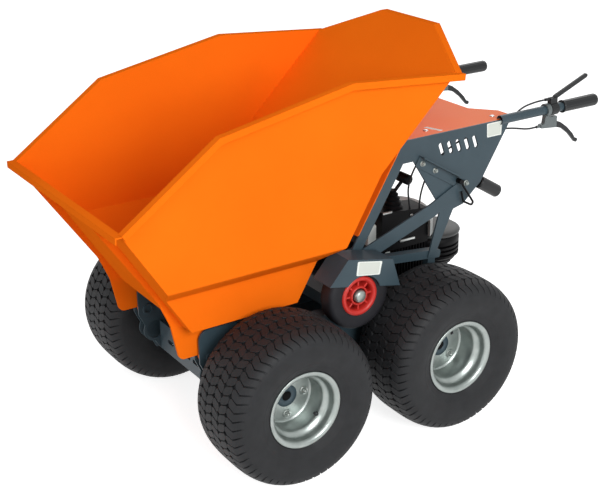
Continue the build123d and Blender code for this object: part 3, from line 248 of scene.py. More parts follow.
class Pile:
    """Points and faces of several closed shapes that become one mesh, in one or more materials."""

    def __init__(self, *materials):
        self.materials = materials
        self.points = []
        self.faces = []
        self.smooth = []
        self.finish = []

    def add(self, points, faces, smooth=True, finish=None, place=None):
        """Adds a shape in one of the pile's materials, or in the first if none is given."""
        start = len(self.points)
        slot = self.materials.index(finish) if finish else 0
        for point in points:
            self.points.append(place @ Vector(point) if place else Vector(point))
        self.faces += [[start + corner for corner in face] for face in faces]
        self.smooth += [smooth] * len(faces)
        self.finish += [slot] * len(faces)

    def mesh(self, name):
        """Mesh of the pile in metres, with its faces turned outwards."""
        mesh = bpy.data.meshes.new(name)
        mesh.from_pydata([point * MM for point in self.points], [], self.faces)
        mesh.polygons.foreach_set("use_smooth", self.smooth)
        mesh.polygons.foreach_set("material_index", self.finish)
        for material in self.materials:
            mesh.materials.append(material)
        work = bmesh.new()
        work.from_mesh(mesh)
        bmesh.ops.recalc_face_normals(work, faces=work.faces)
        work.to_mesh(mesh)
        work.free()
        return mesh


def piece(name, mesh, body, place=None, stands_for=()):
    """Makes an object of a mesh on a CAD body, in the place of the CAD nodes that it stands for."""
    made = bpy.data.objects.new(name, mesh)
    bpy.context.scene.collection.objects.link(made)
    if place is not None:
        made.matrix_world = place
    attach(made, body)
    if stands_for:
        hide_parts(*stands_for)


def lathe(profile, segments, closed=True):
    """Surface of revolution about Y, as points and faces, from a profile of (y, radius) points.

    A closed profile is joined from its last point to its first. An open one ends in poles of radius 0.
    """
    points = []
    rings = []
    for y, radius in profile:
        start = len(points)
        if radius == 0:
            points.append((0, y, 0))
            rings.append([start] * segments)
            continue
        for step in range(segments):
            angle = 2 * math.pi * step / segments
            points.append((radius * math.cos(angle), y, radius * math.sin(angle)))
        rings.append(list(range(start, start + segments)))
    faces = []
    for here, there in zip(rings, rings[1:] + rings[:1] if closed else rings[1:]):
        for step in range(segments):
            ahead = (step + 1) % segments
            corners = list(dict.fromkeys((here[step], here[ahead], there[ahead], there[step])))
            if len(corners) > 2:
                faces.append(corners)
    return points, faces


def mirrored(half):
    """Half of a profile, followed by its mirror image."""
    return half + [(-y, radius) for y, radius in half[::-1]]


def sunk(point, depth):
    """A point moved towards the Y axis by a depth."""
    x, y, z = point
    radius = math.hypot(x, z)
    share = (radius - depth) / radius
    return x * share, y, z * share


def thickened(path, sheet):
    """Closed outline of a sheet: a path of (y, radius) points and its copy one thickness to its left."""
    y, radius = np.array(path, dtype=float).T
    way_y, way_r = np.gradient(y), np.gradient(radius)
    length = np.hypot(way_y, way_r)
    back = zip(y + sheet * way_r / length, radius - sheet * way_y / length)
    return list(path) + list(back)[::-1]


def rounded_block(pile, low, high, bevel, finish=None, place=None):
    """Adds a box between two corners, with rounded edges."""
    low, high = Vector(low), Vector(high)
    work = bmesh.new()
    bmesh.ops.create_cube(work, size=1.0)
    for vert in work.verts:
        vert.co = Vector(share * size for share, size in zip(vert.co, high - low)) + (low + high) / 2
    bmesh.ops.bevel(work, geom=work.edges[:] + work.verts[:], offset=bevel, segments=2, profile=0.5,
                    affect="EDGES")
    work.verts.index_update()
    points = [tuple(vert.co) for vert in work.verts]
    faces = [[vert.index for vert in face.verts] for face in work.faces]
    work.free()
    pile.add(points, faces, False, finish, place)


def pointing(spot, direction):
    """Place whose +Y lies along a direction."""
    turn = Vector((0, 1, 0)).rotation_difference(Vector(direction))
    return Matrix.Translation(spot) @ turn.to_matrix().to_4x4()


def facing(side):
    """Turn about Z that points a part's +Y outboard: none on the left, and half a turn on the right."""
    return Matrix.Rotation(0.0 if side == 1 else math.pi, 4, "Z")


# Flanged nut, its stud's end and a domed end: (height, radius) in widths across flats and corner radii.
NUT_FLANGE = [(0.08, 1.25), (0.16, 1.1), (0.16, 0)]
NUT_HEAD = [(0, 0), (0, 1), (0.5, 1), (0.62, 0.86), (0.62, 0)]
NUT_STUD = [(0.5, 0), (0.5, 0.5), (0.84, 0.5), (0.9, 0.42), (0.9, 0)]
NUT_DOME = [(0.5, 0), (0.5, 0.7), (0.8, 0.66), (1.0, 0.42), (1.06, 0)]
FLANGE_SEGMENTS = 28
STUD_SEGMENTS = 20
# How far a fastener's foot is sunk in the face that it stands on.
SEAT = 0.4


def hex_nut(pile, spot, direction, across, finish=None, domed=False):
    """Adds a flanged hexagon head or nut that stands on a surface at spot."""
    corner = across / math.sqrt(3)
    flange, head, end = ([(height * across, radius * corner) for height, radius in outline]
                         for outline in (NUT_FLANGE, NUT_HEAD, NUT_DOME if domed else NUT_STUD))
    foot = [(-SEAT, 0), (-SEAT, flange[0][1])]
    place = pointing(spot, direction)
    pile.add(*lathe(foot + flange, FLANGE_SEGMENTS, False), True, finish, place)
    pile.add(*lathe(head, 6, False), False, finish, place)
    pile.add(*lathe(end, STUD_SEGMENTS, False), True, finish, place)


def node_centre(node):
    """Middle of a CAD node's box, in metres."""
    low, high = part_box(node)
    return (low + high) / 2


# Pieces of the frame are laid out from the ground point midway between the axles.
FRAME_PLACE = Matrix.Translation(((node_centre("axle_front").x + node_centre("axle_rear").x) / 2, 0, 0))


# ---------------------------------------------------------------- turf tyres

TYRE_RADIUS = 254.0
TYRE_HALF_WIDTH = 126.6
WIDEST_RADIUS = 188.0
CROWN_POWER = 3.3
BEAD_HALF_WIDTH = 104.0
BEAD_RADIUS = 120.5
# Inner edge of the bead, from its outer edge.
BEAD_INSET = 16.0
BEAD_DROP = 14.0
# Raised rings on the sidewall, as (radius, half width, height).
SIDEWALL_RINGS = ((192.0, 2.0, 0.9), (148.0, 2.2, 1.0), (126.5, 2.5, 1.3))

# Tread: rows of blocks, two on each side of the middle and a shoulder row that runs down the sidewall.
PITCHES = 55
PITCH = 2 * math.pi * TYRE_RADIUS / PITCHES
ROW_WIDTH = 36.0
SHOULDER_START = 72.0
SHOULDER_KNEE = 101.0
TREAD_EDGE_RADIUS = 216.0
TREAD_DEPTH = 7.0
DEPTH_POWER = 0.7
ZIGZAG = 7.0
GROOVE = 2.3
RIB_GAP = 1.6
# Cut at the ends of a block, which leaves a pit between blocks, and the length over which it runs out.
PIT_CUT = 6.4
PIT_LENGTH = 7.5
ROW_CUTS = (PIT_CUT, 0.0, 0.4, 0.0, PIT_CUT)
SHOULDER_HEAD_CUTS = (PIT_CUT, 0.0, 0.2)
SHOULDER_HEAD_END = 5.0
SHOULDER_CUT = 0.9
# A block's flank: its foot spreads below the groove, and its upper edge is broken.
FOOT_SPREAD = 0.9
FOOT_SINK = 1.0
EDGE_WIDTH = 1.0
EDGE_DROP = 0.9

TYRE_SEGMENTS = 110
SECTION_STEPS = 400
CROWN_STEPS = 9
WALL_STEPS = 40
SHOULDER_STEPS = 8


def tyre_section():
    """Half of the tyre's outer outline, from crown to bead.

    It has the arc length from the crown, y, radius, and the outward normal's y and radial parts.
    """
    turn = np.linspace(0, math.pi / 2, SECTION_STEPS)
    crown_y = TYRE_HALF_WIDTH * np.sin(turn) ** (2 / CROWN_POWER)
    crown_r = WIDEST_RADIUS + (TYRE_RADIUS - WIDEST_RADIUS) * np.cos(turn) ** (2 / CROWN_POWER)
    wall_r = np.linspace(WIDEST_RADIUS, BEAD_RADIUS, SECTION_STEPS)[1:]
    share = (WIDEST_RADIUS - wall_r) / (WIDEST_RADIUS - BEAD_RADIUS)
    wall_y = TYRE_HALF_WIDTH - (TYRE_HALF_WIDTH - BEAD_HALF_WIDTH) * share ** 2
    y, r = np.concatenate([crown_y, wall_y]), np.concatenate([crown_r, wall_r])
    run = np.concatenate([[0], np.cumsum(np.hypot(np.diff(y), np.diff(r)))])
    way_y, way_r = np.gradient(y, run), np.gradient(r, run)
    length = np.hypot(way_y, way_r)
    return run, y, r, -way_r / length, way_y / length


SECTION_RUN, *SECTION_SHAPE = tyre_section()
RUN_AT_TREAD_EDGE = float(np.interp(-TREAD_EDGE_RADIUS, -SECTION_SHAPE[1], SECTION_RUN))
# Zigzag of the grooves: arc lengths from the crown, and the shift round the tyre at each.
WAVE_RUNS = (0.0, ROW_WIDTH, SHOULDER_START, SHOULDER_KNEE, RUN_AT_TREAD_EDGE - 10.0,
             RUN_AT_TREAD_EDGE + 20.0)
WAVE_SHIFTS = (ZIGZAG, -ZIGZAG, ZIGZAG, -ZIGZAG, ZIGZAG * 0.8, ZIGZAG)


def section_point(run, depth):
    """(y, radius) on the tyre's section at an arc length from the crown, sunk by a depth."""
    y, radius, normal_y, normal_radius = (float(np.interp(abs(run), SECTION_RUN, values))
                                          for values in SECTION_SHAPE)
    return math.copysign(1, run) * (y - depth * normal_y), radius - depth * normal_radius


def tread_depth(run):
    """Depth of the grooves: whole across the crown, running out down the shoulder."""
    fade = (RUN_AT_TREAD_EDGE - abs(run)) / (RUN_AT_TREAD_EDGE - SHOULDER_KNEE)
    return TREAD_DEPTH * min(1.0, max(0.0, fade) ** DEPTH_POWER)


def tread_block(pile, runs, cuts, turn):
    """Adds one tread block along the given arc lengths, narrowed by a cut at each, at a turn about Y."""
    points = []
    for run, cut in zip(runs, cuts):
        middle = float(np.interp(abs(run), WAVE_RUNS, WAVE_SHIFTS))
        half = PITCH / 2 - GROOVE / 2 - cut
        depth = tread_depth(run)
        flank = ((FOOT_SPREAD, depth + FOOT_SINK), (0.0, min(EDGE_DROP, depth)), (-EDGE_WIDTH, 0.0))
        for side, levels in ((-1, flank), (1, flank[::-1])):
            for out, sink in levels:
                y, radius = section_point(run, sink)
                angle = turn + (middle + side * (half + out)) / TYRE_RADIUS
                points.append((radius * math.cos(angle), y, radius * math.sin(angle)))
    width = 2 * len(flank)
    last = len(points) - width
    faces = [(ring + i, ring + i + 1, ring + width + i + 1, ring + width + i)
             for ring in range(0, last, width) for i in range(width - 1)]
    faces += [tuple(range(width - 1, -1, -1)), tuple(range(last, last + width))]
    flip = runs[-1] < runs[0]
    pile.add(points, [face[::-1] for face in faces] if flip else faces, smooth=False)


def carcass_profile():
    """Closed outline of the tyre at the bottom of its grooves, with the sidewall's rings."""
    crown = np.linspace(0, SHOULDER_KNEE, CROWN_STEPS)
    wall = np.linspace(SHOULDER_KNEE, SECTION_RUN[-1], WALL_STEPS)
    half = [float(run) for run in (*crown, *wall[1:])]
    profile = []
    for run in [-run for run in half[::-1]] + half[1:]:
        y, radius = section_point(run, tread_depth(run))
        for ring_radius, ring_width, rise in SIDEWALL_RINGS:
            hump = max(0.0, 1 - ((radius - ring_radius) / ring_width) ** 2)
            y += math.copysign(rise * hump, y)
        profile.append((y, radius))
    return profile + [(side * (BEAD_HALF_WIDTH - BEAD_INSET), BEAD_RADIUS - BEAD_DROP) for side in (1, -1)]


def turf_tyre_mesh():
    """Tyre about the origin: a carcass, and rows of zigzag blocks on it."""
    pile = Pile(TYRE_RUBBER)
    pile.add(*lathe(carcass_profile(), TYRE_SEGMENTS))
    rows = []
    for start in (0.0, ROW_WIDTH):
        low, high = start + RIB_GAP / 2, start + ROW_WIDTH - RIB_GAP / 2
        rows.append(((low, low + PIT_LENGTH, (low + high) / 2, high - PIT_LENGTH, high), ROW_CUTS))
    low = SHOULDER_START + RIB_GAP / 2
    shoulder = [float(run) for run in np.linspace(SHOULDER_KNEE, RUN_AT_TREAD_EDGE, SHOULDER_STEPS)]
    rows.append(((low, low + PIT_LENGTH, SHOULDER_KNEE - SHOULDER_HEAD_END, *shoulder),
                 SHOULDER_HEAD_CUTS + (SHOULDER_CUT,) * SHOULDER_STEPS))
    for index in range(PITCHES):
        for side in (1, -1):
            for runs, cuts in rows:
                tread_block(pile, [side * run for run in runs], cuts, 2 * math.pi * index / PITCHES)
    return pile.mesh("turf_tyre")


def make_tyres():
    mesh = turf_tyre_mesh()
    for end in ENDS:
        for _, hand in SIDES:
            node = f"tyre_{end}_{hand}"
            place = Matrix.Translation(node_centre(node))
            piece(f"turf_{node}", mesh, f"wheel_{end}_{hand}", place, [node])


# ---------------------------------------------------------------- pressed rims

RIM_SEGMENTS = 120
RIM_SHEET = 3.6
WELL_RADIUS = 84.2
# Outboard half of the rim's inside surface: lip, flange, bead seat, step and well, as (y, radius).
RIM_HALF = [(104.0, 120.4), (106.6, 121.2), (108.2, 119.8), (107.7, 115.0), (105.8, 109.0), (101.5, 104.6),
            (95.5, 102.6), (86.0, 101.6), (79.5, 100.2), (75.4, 97.0), (72.0, 92.0), (68.8, 87.6),
            (64.0, 85.2), (56.0, 84.4), (30.0, WELL_RADIUS)]
DISC_FACE = 3.0
DISC_BACK = -3.0
DISC_RADIUS = 84.6
DISC_RINGS = 26
DISC_SEGMENTS = 2 * RIM_SEGMENTS
# Weld bead between the disc and the well.
WELD_RADIUS = 78.6
WELD = [(DISC_FACE - 0.5, WELD_RADIUS), (4.6, 80.4), (6.0, 82.6), (7.6, DISC_RADIUS), (0.0, DISC_RADIUS),
        (0.0, WELD_RADIUS)]
HUB_SEGMENTS = 72
HUB_BORE = 15.2
HUB_RADIUS = 35.0
HUB_FACE = 5.0
HUB_INNER_END = -140.0
HUB_BEVEL = 1.4
HUB = [(HUB_INNER_END, HUB_BORE), (HUB_INNER_END, HUB_RADIUS), (HUB_FACE - HUB_BEVEL, HUB_RADIUS),
       (HUB_FACE, HUB_RADIUS - HUB_BEVEL), (HUB_FACE, HUB_BORE + HUB_BEVEL), (HUB_FACE - HUB_BEVEL, HUB_BORE)]
# Dark cup in the hub that the axle ends in, black as painted shade for the bore, from its floor to its mouth,
# as (y, radius).
CUP_SEGMENTS = 48
CUP_OUTER = HUB_BORE + 0.3
CUP_INNER = HUB_BORE - 0.7
HUB_CUP = [(-22.0, 0), (-22.0, CUP_OUTER), (2.6, CUP_OUTER), (2.6, CUP_INNER), (-20.0, CUP_INNER), (-20.0, 0)]
WHEEL_NUTS = 4
WHEEL_NUT_CIRCLE = 61.0
WHEEL_NUT_ACROSS = 15.0
WHEEL_NUT_LIFT = 0.6
DIMPLE_RADIUS = 15.0
DIMPLE_DEPTH = 4.6
VALVE_SEGMENTS = 24
VALVE_Y = 63.0
VALVE_ANGLE = math.radians(219.0)
VALVE_LEAN = 0.5
# Rubber valve stem and its cap, as (distance, radius).
VALVE_STEM = [(-7.0, 0), (-7.0, 7.6), (-1.0, 7.6), (1.5, 6.0), (9.0, 4.6), (11.0, 4.2), (11.0, 4.9),
              (17.0, 4.7), (18.0, 3.8), (18.0, 0)]
# How far the rear wheels stand turned from the front ones.
REAR_TURN = math.radians(135.0)


def nut_place(index, y):
    """Middle of one wheel nut at a distance along the wheel's axis."""
    angle = 2 * math.pi * index / WHEEL_NUTS
    return Vector((WHEEL_NUT_CIRCLE * math.cos(angle), y, WHEEL_NUT_CIRCLE * math.sin(angle)))


def wheel_disc():
    """Wheel disc with a shallow dimple round each nut, as points and faces."""
    inner = HUB_RADIUS - 1
    face = [(DISC_FACE, float(radius)) for radius in np.linspace(inner, DISC_RADIUS, DISC_RINGS)]
    back = [(DISC_BACK, DISC_RADIUS), (DISC_BACK, inner)]
    flat, faces = lathe(face + back, DISC_SEGMENTS)
    nuts = [nut_place(index, DISC_FACE) for index in range(WHEEL_NUTS)]
    points = []
    for x, y, z in flat:
        away = min((Vector((x, y, z)) - nut).length for nut in nuts)
        sink = DIMPLE_DEPTH * max(0.0, 1 - (away / DIMPLE_RADIUS) ** 2) if y == DISC_FACE else 0.0
        points.append((x, y - sink, z))
    return points, faces


def rim_mesh():
    """Pressed rim about the origin, outboard side at +Y, with its disc, hub, nuts and valve."""
    pile = Pile(GALVANISED, HUB_METAL, NUT_STEEL, BLACK_PLASTIC, SHADOW_BLACK)
    pile.add(*lathe(thickened(mirrored(RIM_HALF), RIM_SHEET), RIM_SEGMENTS))
    pile.add(*wheel_disc())
    pile.add(*lathe(WELD, RIM_SEGMENTS))
    pile.add(*lathe(HUB, HUB_SEGMENTS), finish=HUB_METAL)
    pile.add(*lathe(HUB_CUP, CUP_SEGMENTS, False), finish=SHADOW_BLACK)
    nut_y = DISC_FACE - DIMPLE_DEPTH + WHEEL_NUT_LIFT
    for index in range(WHEEL_NUTS):
        hex_nut(pile, nut_place(index, nut_y), (0, 1, 0), WHEEL_NUT_ACROSS, NUT_STEEL, domed=True)
    outward = Vector((math.cos(VALVE_ANGLE), 0, math.sin(VALVE_ANGLE)))
    root = outward * (WELL_RADIUS + 1) + Vector((0, VALVE_Y, 0))
    pile.add(*lathe(VALVE_STEM, VALVE_SEGMENTS, False), finish=BLACK_PLASTIC,
             place=pointing(root, Vector((0, VALVE_LEAN, 0)) - outward))
    return pile.mesh("pressed_rim")


def make_rims():
    mesh = rim_mesh()
    for end in ENDS:
        for side, hand in SIDES:
            turn = Matrix.Rotation(0.0 if end == "front" else REAR_TURN, 4, "Y")
            place = Matrix.Translation(node_centre(f"tyre_{end}_{hand}")) @ facing(side) @ turn
            piece(f"pressed_rim_{end}_{hand}", mesh, f"wheel_{end}_{hand}", place,
                  [f"rim_{end}_{hand}"])


# ---------------------------------------------------------------- friction rollers

ROLLER_SEGMENTS = 176
# Half of the roller tyre's outline from its bead to its crown, as (y, radius).
ROLLER_TYRE_HALF = [(23.0, 62.4), (27.5, 63.4), (28.6, 66.0), (29.4, 72.0), (30.4, 82.0), (30.9, 91.0),
                    (30.2, 98.0), (27.6, 104.2), (22.5, 108.4), (14.0, 109.8)]
KNURL_START = 96.0
KNURL_DEPTH = 1.5
# Section of the wheel's rounded outer ring and of its hub ring, as (y, radius).
ROLLER_RING = [(-24.0, 47.0), (18.0, 46.0), (27.0, 47.4), (31.6, 50.6), (33.6, 55.0), (32.8, 60.0),
               (29.6, 63.6), (27.0, 64.2), (22.0, 61.8), (-24.0, 61.8)]
ROLLER_HUB = [(-24.0, 24.0), (26.0, 24.0), (29.0, 25.2), (29.4, 28.2), (27.0, 30.6), (-24.0, 31.0)]
ROLLER_WEB = [(-6.0, 24.5), (-6.0, 50.0), (-12.0, 50.0), (-12.0, 24.5)]
ROLLER_RIBS = 8
ROLLER_RIB_WIDTH = 6.0
ROLLER_RIB_ROUND = 1.6
ROLLER_RIB_INNER = 26.0
ROLLER_RIB_OUTER = 52.0
ROLLER_RIB_BACK = -20.0
ROLLER_RIB_FACE = 23.0
# Black sleeve in the roller wheel's hub, as (y, radius): painted shade in the recess round the domed nut.
ROLLER_SLEEVE = [(-24.0, 10.4), (-24.0, 25.0), (4.0, 25.0), (4.0, 17.0), (22.0, 17.0), (22.0, 10.4)]
# Domed axle nut, as (distance from the wheel's middle, radius).
ROLLER_NUT = [(20.0, 0), (20.0, 20.4), (31.0, 20.2), (35.6, 18.8), (38.8, 15.6), (40.7, 10.0), (41.6, 4.0),
              (41.7, 0)]
RING_SEGMENTS = 96
SLEEVE_SEGMENTS = 48


def roller_tyre_mesh():
    """Small roller tyre about the origin with fine ribs across its crown."""
    points, faces = lathe(mirrored(ROLLER_TYRE_HALF), ROLLER_SEGMENTS)
    ribbed = []
    for index, point in enumerate(points):
        between_ribs = math.hypot(point[0], point[2]) >= KNURL_START and index % ROLLER_SEGMENTS % 2
        ribbed.append(sunk(point, KNURL_DEPTH) if between_ribs else point)
    pile = Pile(ROLLER_RUBBER)
    pile.add(ribbed, faces)
    return pile.mesh("roller_tread")


def roller_wheel_mesh():
    """Ribbed plastic roller wheel about the origin, outboard side at +Y."""
    pile = Pile(RED_PLASTIC, SHADOW_BLACK)
    pile.add(*lathe(ROLLER_RING, RING_SEGMENTS))
    pile.add(*lathe(ROLLER_HUB, HUB_SEGMENTS))
    pile.add(*lathe(ROLLER_WEB, RING_SEGMENTS))
    low = (ROLLER_RIB_INNER, ROLLER_RIB_BACK, -ROLLER_RIB_WIDTH / 2)
    high = (ROLLER_RIB_OUTER, ROLLER_RIB_FACE, ROLLER_RIB_WIDTH / 2)
    for index in range(ROLLER_RIBS):
        turn = Matrix.Rotation(2 * math.pi * index / ROLLER_RIBS, 4, "Y")
        rounded_block(pile, low, high, ROLLER_RIB_ROUND, place=turn)
    pile.add(*lathe(ROLLER_SLEEVE, SLEEVE_SEGMENTS), finish=SHADOW_BLACK)
    return pile.mesh("roller_wheel")


def make_rollers():
    tread, wheel = roller_tyre_mesh(), roller_wheel_mesh()
    nuts = Pile(NUT_STEEL)
    for side, hand in SIDES:
        centre = node_centre(f"roller_tyre_{hand}")
        place = Matrix.Translation(centre)
        piece(f"roller_tread_{hand}", tread, f"roller_{hand}", place, [f"roller_tyre_{hand}"])
        piece(f"roller_wheel_{hand}", wheel, f"roller_{hand}", place @ facing(side),
              [f"roller_rim_{hand}"])
        nuts.add(*lathe(ROLLER_NUT, SLEEVE_SEGMENTS, False), place=pointing(centre / MM, (0, side, 0)))
    piece("roller_axle_nuts", nuts.mesh("roller_axle_nuts"), "frame")


# ---------------------------------------------------------------- grips and fasteners

GRIP_SEGMENTS = 56
GRIP_FLUTE_DEPTH = 0.7
GRIP_FLUTE_SEGMENTS = 4
GRIP_FLUTED = (10.0, 140.0)
# Grip from its inner collar to its rounded end, as (distance, radius).
GRIP_OUTLINE = [(0.0, 15.1), (0.0, 19.6), (1.6, 21.4), (4.4, 21.4), (6.2, 19.8), (9.0, 19.2), (10.5, 19.6),
                (50.0, 19.8), (100.0, 20.1), (139.0, 20.5), (147.0, 20.3), (152.5, 18.2), (156.4, 13.6),
                (157.8, 7.0), (158.0, 0)]
# Faces of the CAD solids that fasteners and labels stand on: y on the left side, and the cover's z.
PLATE_FACE = 283.0
BRACE_FACE = 289.0
BRACKET_FACE = 287.0
COVER_TOP = 915.0
# Hexagon heads on the left side as (x, y, z, width across flats); the right side mirrors them.
FRAME_BOLTS = [(-294.0, BRACKET_FACE, 831.0, 13.0), (-345.0, BRACKET_FACE, 799.0, 13.0),
               (-471.0, BRACE_FACE, 733.0, 13.0)]
# Domed screws through the engine cover as (x, y), and a screw's outline as (height, radius).
COVER_SCREWS = [(-618.0, 234.0), (-345.0, 234.0)]
COVER_SCREW = [(-SEAT, 0), (-SEAT, 8.6), (0.9, 8.4), (2.6, 6.4), (3.6, 3.0), (3.8, 0)]
SCREW_SEGMENTS = 28


def grip_mesh():
    """Hand grip along -X from its collar, with shallow flutes."""
    points, faces = lathe(GRIP_OUTLINE, GRIP_SEGMENTS, False)
    low, high = GRIP_FLUTED
    fluted = []
    for index, point in enumerate(points):
        step = index % GRIP_SEGMENTS % GRIP_FLUTE_SEGMENTS
        in_flute = low < point[1] < high and step < GRIP_FLUTE_SEGMENTS / 2
        fluted.append(sunk(point, GRIP_FLUTE_DEPTH) if in_flute else point)
    pile = Pile(BLACK_PLASTIC)
    pile.add(fluted, faces, place=pointing((0, 0, 0), (-1, 0, 0)))
    return pile.mesh("fluted_grip")


def make_grips():
    mesh = grip_mesh()
    for _, hand in SIDES:
        node = f"grip_{hand}"
        centre = node_centre(node)
        place = Matrix.Translation((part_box(node)[1].x, centre.y, centre.z))
        piece(f"fluted_{node}", mesh, "frame", place, [node])


def make_fasteners():
    bolts = Pile(NUT_STEEL)
    for x, y, z, across in FRAME_BOLTS:
        for side, _ in SIDES:
            hex_nut(bolts, (x, side * y, z), (0, side, 0), across)
    piece("frame_bolts", bolts.mesh("frame_bolts"), "frame", FRAME_PLACE)
    screws = Pile(ZINC)
    for x, y in COVER_SCREWS:
        for side, _ in SIDES:
            place = pointing((x, side * y, COVER_TOP), (0, 0, 1))
            screws.add(*lathe(COVER_SCREW, SCREW_SEGMENTS, False), place=place)
    piece("cover_screws", screws.mesh("cover_screws"), "frame", FRAME_PLACE)


# ---------------------------------------------------------------- blank labels

LABEL_SINK = 0.3
LABEL_THICKNESS = 0.5
LABEL_FACE_RISE = 0.15
LABEL_CORNER_STEPS = 4
# Width of the border and radius of the corners, as shares of the label's size.
LABEL_BORDER = 0.07
LABEL_ROUND = 0.06
GUARD_FACE = 380.0
# Corners of each label on the machine's left side; the right side mirrors them.
GUARD_LABEL = [(16.0, GUARD_FACE, 610.0), (-74.0, GUARD_FACE, 591.0), (-65.0, GUARD_FACE, 549.0),
               (22.0, GUARD_FACE, 565.0)]
PLATE_LABEL = [(-554.0, PLATE_FACE, 912.0), (-617.0, PLATE_FACE, 912.0), (-616.0, PLATE_FACE, 866.0),
               (-557.0, PLATE_FACE, 866.0)]
COVER_LABEL = [(-360.0, 206.0, COVER_TOP), (-378.0, 262.0, COVER_TOP), (-392.0, 262.0, COVER_TOP),
               (-374.0, 206.0, COVER_TOP)]
# Each label's name, its corners and the way that it faces.
LABELS = (("guard_label", GUARD_LABEL, (0, 1, 0)), ("plate_label", PLATE_LABEL, (0, 1, 0)),
          ("cover_label", COVER_LABEL, (0, 0, 1)))


def label_sheet(pile, corners, outward, inset, rise, finish):
    """Adds a thin sheet with rounded corners between four corners, given in order, less an inset."""
    a, b, c, d = (Vector(corner) for corner in corners)
    near, far = inset + LABEL_ROUND, 1 - inset - LABEL_ROUND
    outline = []
    for turn, (u, v) in enumerate(((far, near), (far, far), (near, far), (near, near))):
        for step in range(LABEL_CORNER_STEPS + 1):
            angle = math.pi / 2 * (turn - 1 + step / LABEL_CORNER_STEPS)
            s, t = u + LABEL_ROUND * math.cos(angle), v + LABEL_ROUND * math.sin(angle)
            outline.append((a * (1 - s) + b * s) * (1 - t) + (d * (1 - s) + c * s) * t)
    count = len(outline)
    points = [spot - outward * LABEL_SINK for spot in outline] + [spot + outward * rise for spot in outline]
    faces = [tuple(range(count)), tuple(range(2 * count - 1, count - 1, -1))]
    faces += [(i, (i + 1) % count, count + (i + 1) % count, count + i) for i in range(count)]
    pile.add(points, faces, False, finish)


def make_labels():
    for name, corners, outward in LABELS:
        for side, hand in SIDES:
            pile = Pile(LABEL_WHITE, LABEL_GREY)
            placed = [(x, side * y, z) for x, y, z in corners]
            away = Vector((outward[0], side * outward[1], outward[2]))
            label_sheet(pile, placed, away, 0.0, LABEL_THICKNESS, LABEL_WHITE)
            label_sheet(pile, placed, away, LABEL_BORDER, LABEL_THICKNESS + LABEL_FACE_RISE, LABEL_GREY)
            piece(f"{name}_{hand}", pile.mesh(f"{name}_{hand}"), "frame", place=FRAME_PLACE)


# ---------------------------------------------------------------- engine details

HOUSING_CENTRE = (-510.0, 75.0)
HOUSING_TOP = 500.0
# Lid over the louvred housing, as (height, radius).
HOUSING_LID = [(-3.0, 0), (-3.0, 96.4), (1.0, 97.4), (4.0, 96.0), (9.0, 88.0), (13.0, 70.0), (15.0, 40.0),
               (15.4, 0)]
LID_SEGMENTS = 72
BLOCK_SIDE = 130.0
FIN_FIRST_X = -300.0
FIN_PITCH = 12.0
FIN_COUNT = 13
FIN_SHEET = 4.0
FIN_ROOT = 2.0
FIN_DEPTH = 7.0
FIN_LOW = 340.0
FIN_HIGH = 506.0
FIN_ROUND = 0.8
# Bright metal parts round the engine, as two corners each.
CAST_PARTS = [((-252.0, 84.0, 519.0), (-206.0, 128.0, 588.0)),
              ((-258.0, 90.0, 548.0), (-246.0, 126.0, 566.0)),
              ((-290.0, 128.0, 462.0), (-272.0, 136.0, 506.0))]
CAST_ROUND = 3.0
RAIL_PARTS = [((-369.0, 159.0, 523.0), (-309.0, 166.0, 531.0)),
              ((-276.0, 154.0, 632.0), (-240.0, 162.0, 639.0))]
RAIL_ROUND = 2.0
# Screws of the engine's shroud as (x, y, z), and their width across flats.
SHROUD_SCREWS = [(-356.0, 160.0, 608.0), (-377.0, 160.0, 606.0)]
SHROUD_SCREW_ACROSS = 7.0


def make_engine_details():
    lid = Pile(LID_GREY)
    lid_place = pointing((*HOUSING_CENTRE, HOUSING_TOP), (0, 0, 1))
    lid.add(*lathe(HOUSING_LID, LID_SEGMENTS, False), place=lid_place)
    piece("housing_lid", lid.mesh("housing_lid"), "frame", FRAME_PLACE)
    fins = Pile(ENGINE_BLACK)
    for index in range(FIN_COUNT):
        x = FIN_FIRST_X - FIN_PITCH * index
        rounded_block(fins, (x - FIN_SHEET, BLOCK_SIDE - FIN_ROOT, FIN_LOW),
                      (x, BLOCK_SIDE + FIN_DEPTH, FIN_HIGH), FIN_ROUND)
    piece("cooling_fins", fins.mesh("cooling_fins"), "frame", FRAME_PLACE)
    castings = Pile(CAST_METAL, ZINC)
    for low, high in CAST_PARTS:
        rounded_block(castings, low, high, CAST_ROUND)
    for low, high in RAIL_PARTS:
        rounded_block(castings, low, high, RAIL_ROUND, ZINC)
    for spot in SHROUD_SCREWS:
        hex_nut(castings, spot, (0, 1, 0), SHROUD_SCREW_ACROSS, ZINC)
    piece("engine_castings", castings.mesh("engine_castings"), "frame", FRAME_PLACE)


# ---------------------------------------------------------------- stage and light

FLOOR_SIZE = 60.0
FLOOR_GLOW = 0.8
SKY_LIGHT = 0.45
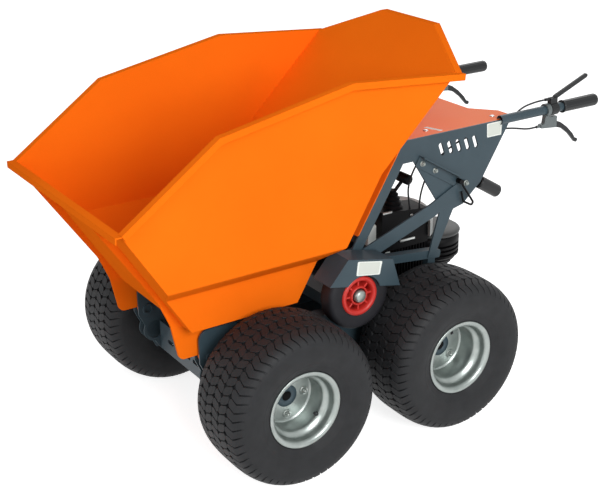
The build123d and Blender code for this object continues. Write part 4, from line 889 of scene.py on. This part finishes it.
# Area lamps in metres and watts, as name, place, size and power.
LAMPS = (
    ("key", (1.2, 5.4, 3.05), 2.6, 258.0),
    ("front", (5.0, 1.6, 1.8), 2.4, 34.0),
    ("rim", (-3.6, -2.6, 3.4), 2.2, 30.0),
)
LAMP_TARGET = Vector((0.0, 0.0, 0.55))


def seen(tree):
    """1 for rays from the camera, straight or off a glossy or clear surface, and 0 for the others."""
    path = tree.nodes.new("ShaderNodeLightPath")
    total = path.outputs["Is Camera Ray"]
    for kind in ("Is Glossy Ray", "Is Transmission Ray"):
        larger = tree.nodes.new("ShaderNodeMath")
        larger.operation = "MAXIMUM"
        tree.links.new(total, larger.inputs[0])
        tree.links.new(path.outputs[kind], larger.inputs[1])
        total = larger.outputs[0]
    return total


def make_stage():
    """Pale floor and world, white to the camera and with the object's shadow."""
    mesh = bpy.data.meshes.new("floor")
    half = FLOOR_SIZE / 2
    corners = [(-half, -half, 0), (half, -half, 0), (half, half, 0), (-half, half, 0)]
    mesh.from_pydata(corners, [], [(0, 1, 2, 3)])
    floor = bpy.data.objects.new("floor", mesh)
    bpy.context.scene.collection.objects.link(floor)
    material, tree, shader = new_shader("floor", (225, 225, 225), 0.9, Specular_IOR_Level=0.0)
    shader.inputs["Emission Color"].default_value = WHITE
    tree.links.new(spread(tree, seen(tree), 0.0, FLOOR_GLOW), shader.inputs["Emission Strength"])
    mesh.materials.append(material)

    world = bpy.data.worlds.new("world")
    bpy.context.scene.world = world
    world.use_nodes = True
    tree = world.node_tree
    sky = tree.nodes["Background"]
    sky.inputs["Color"].default_value = WHITE
    tree.links.new(spread(tree, seen(tree), SKY_LIGHT, 1.0), sky.inputs["Strength"])


def make_lamps():
    for name, place, size, watts in LAMPS:
        data = bpy.data.lights.new(name, "AREA")
        data.size = size
        data.energy = watts
        lamp = bpy.data.objects.new(name, data)
        lamp.location = place
        lamp.rotation_euler = (LAMP_TARGET - Vector(place)).to_track_quat("-Z", "Y").to_euler()
        bpy.context.scene.collection.objects.link(lamp)


bpy.context.scene.view_settings.view_transform = "Standard"
make_camera()
make_stage()
make_lamps()
finish_nodes()
make_tyres()
make_rims()
make_rollers()
make_grips()
make_fasteners()
make_labels()
make_engine_details()
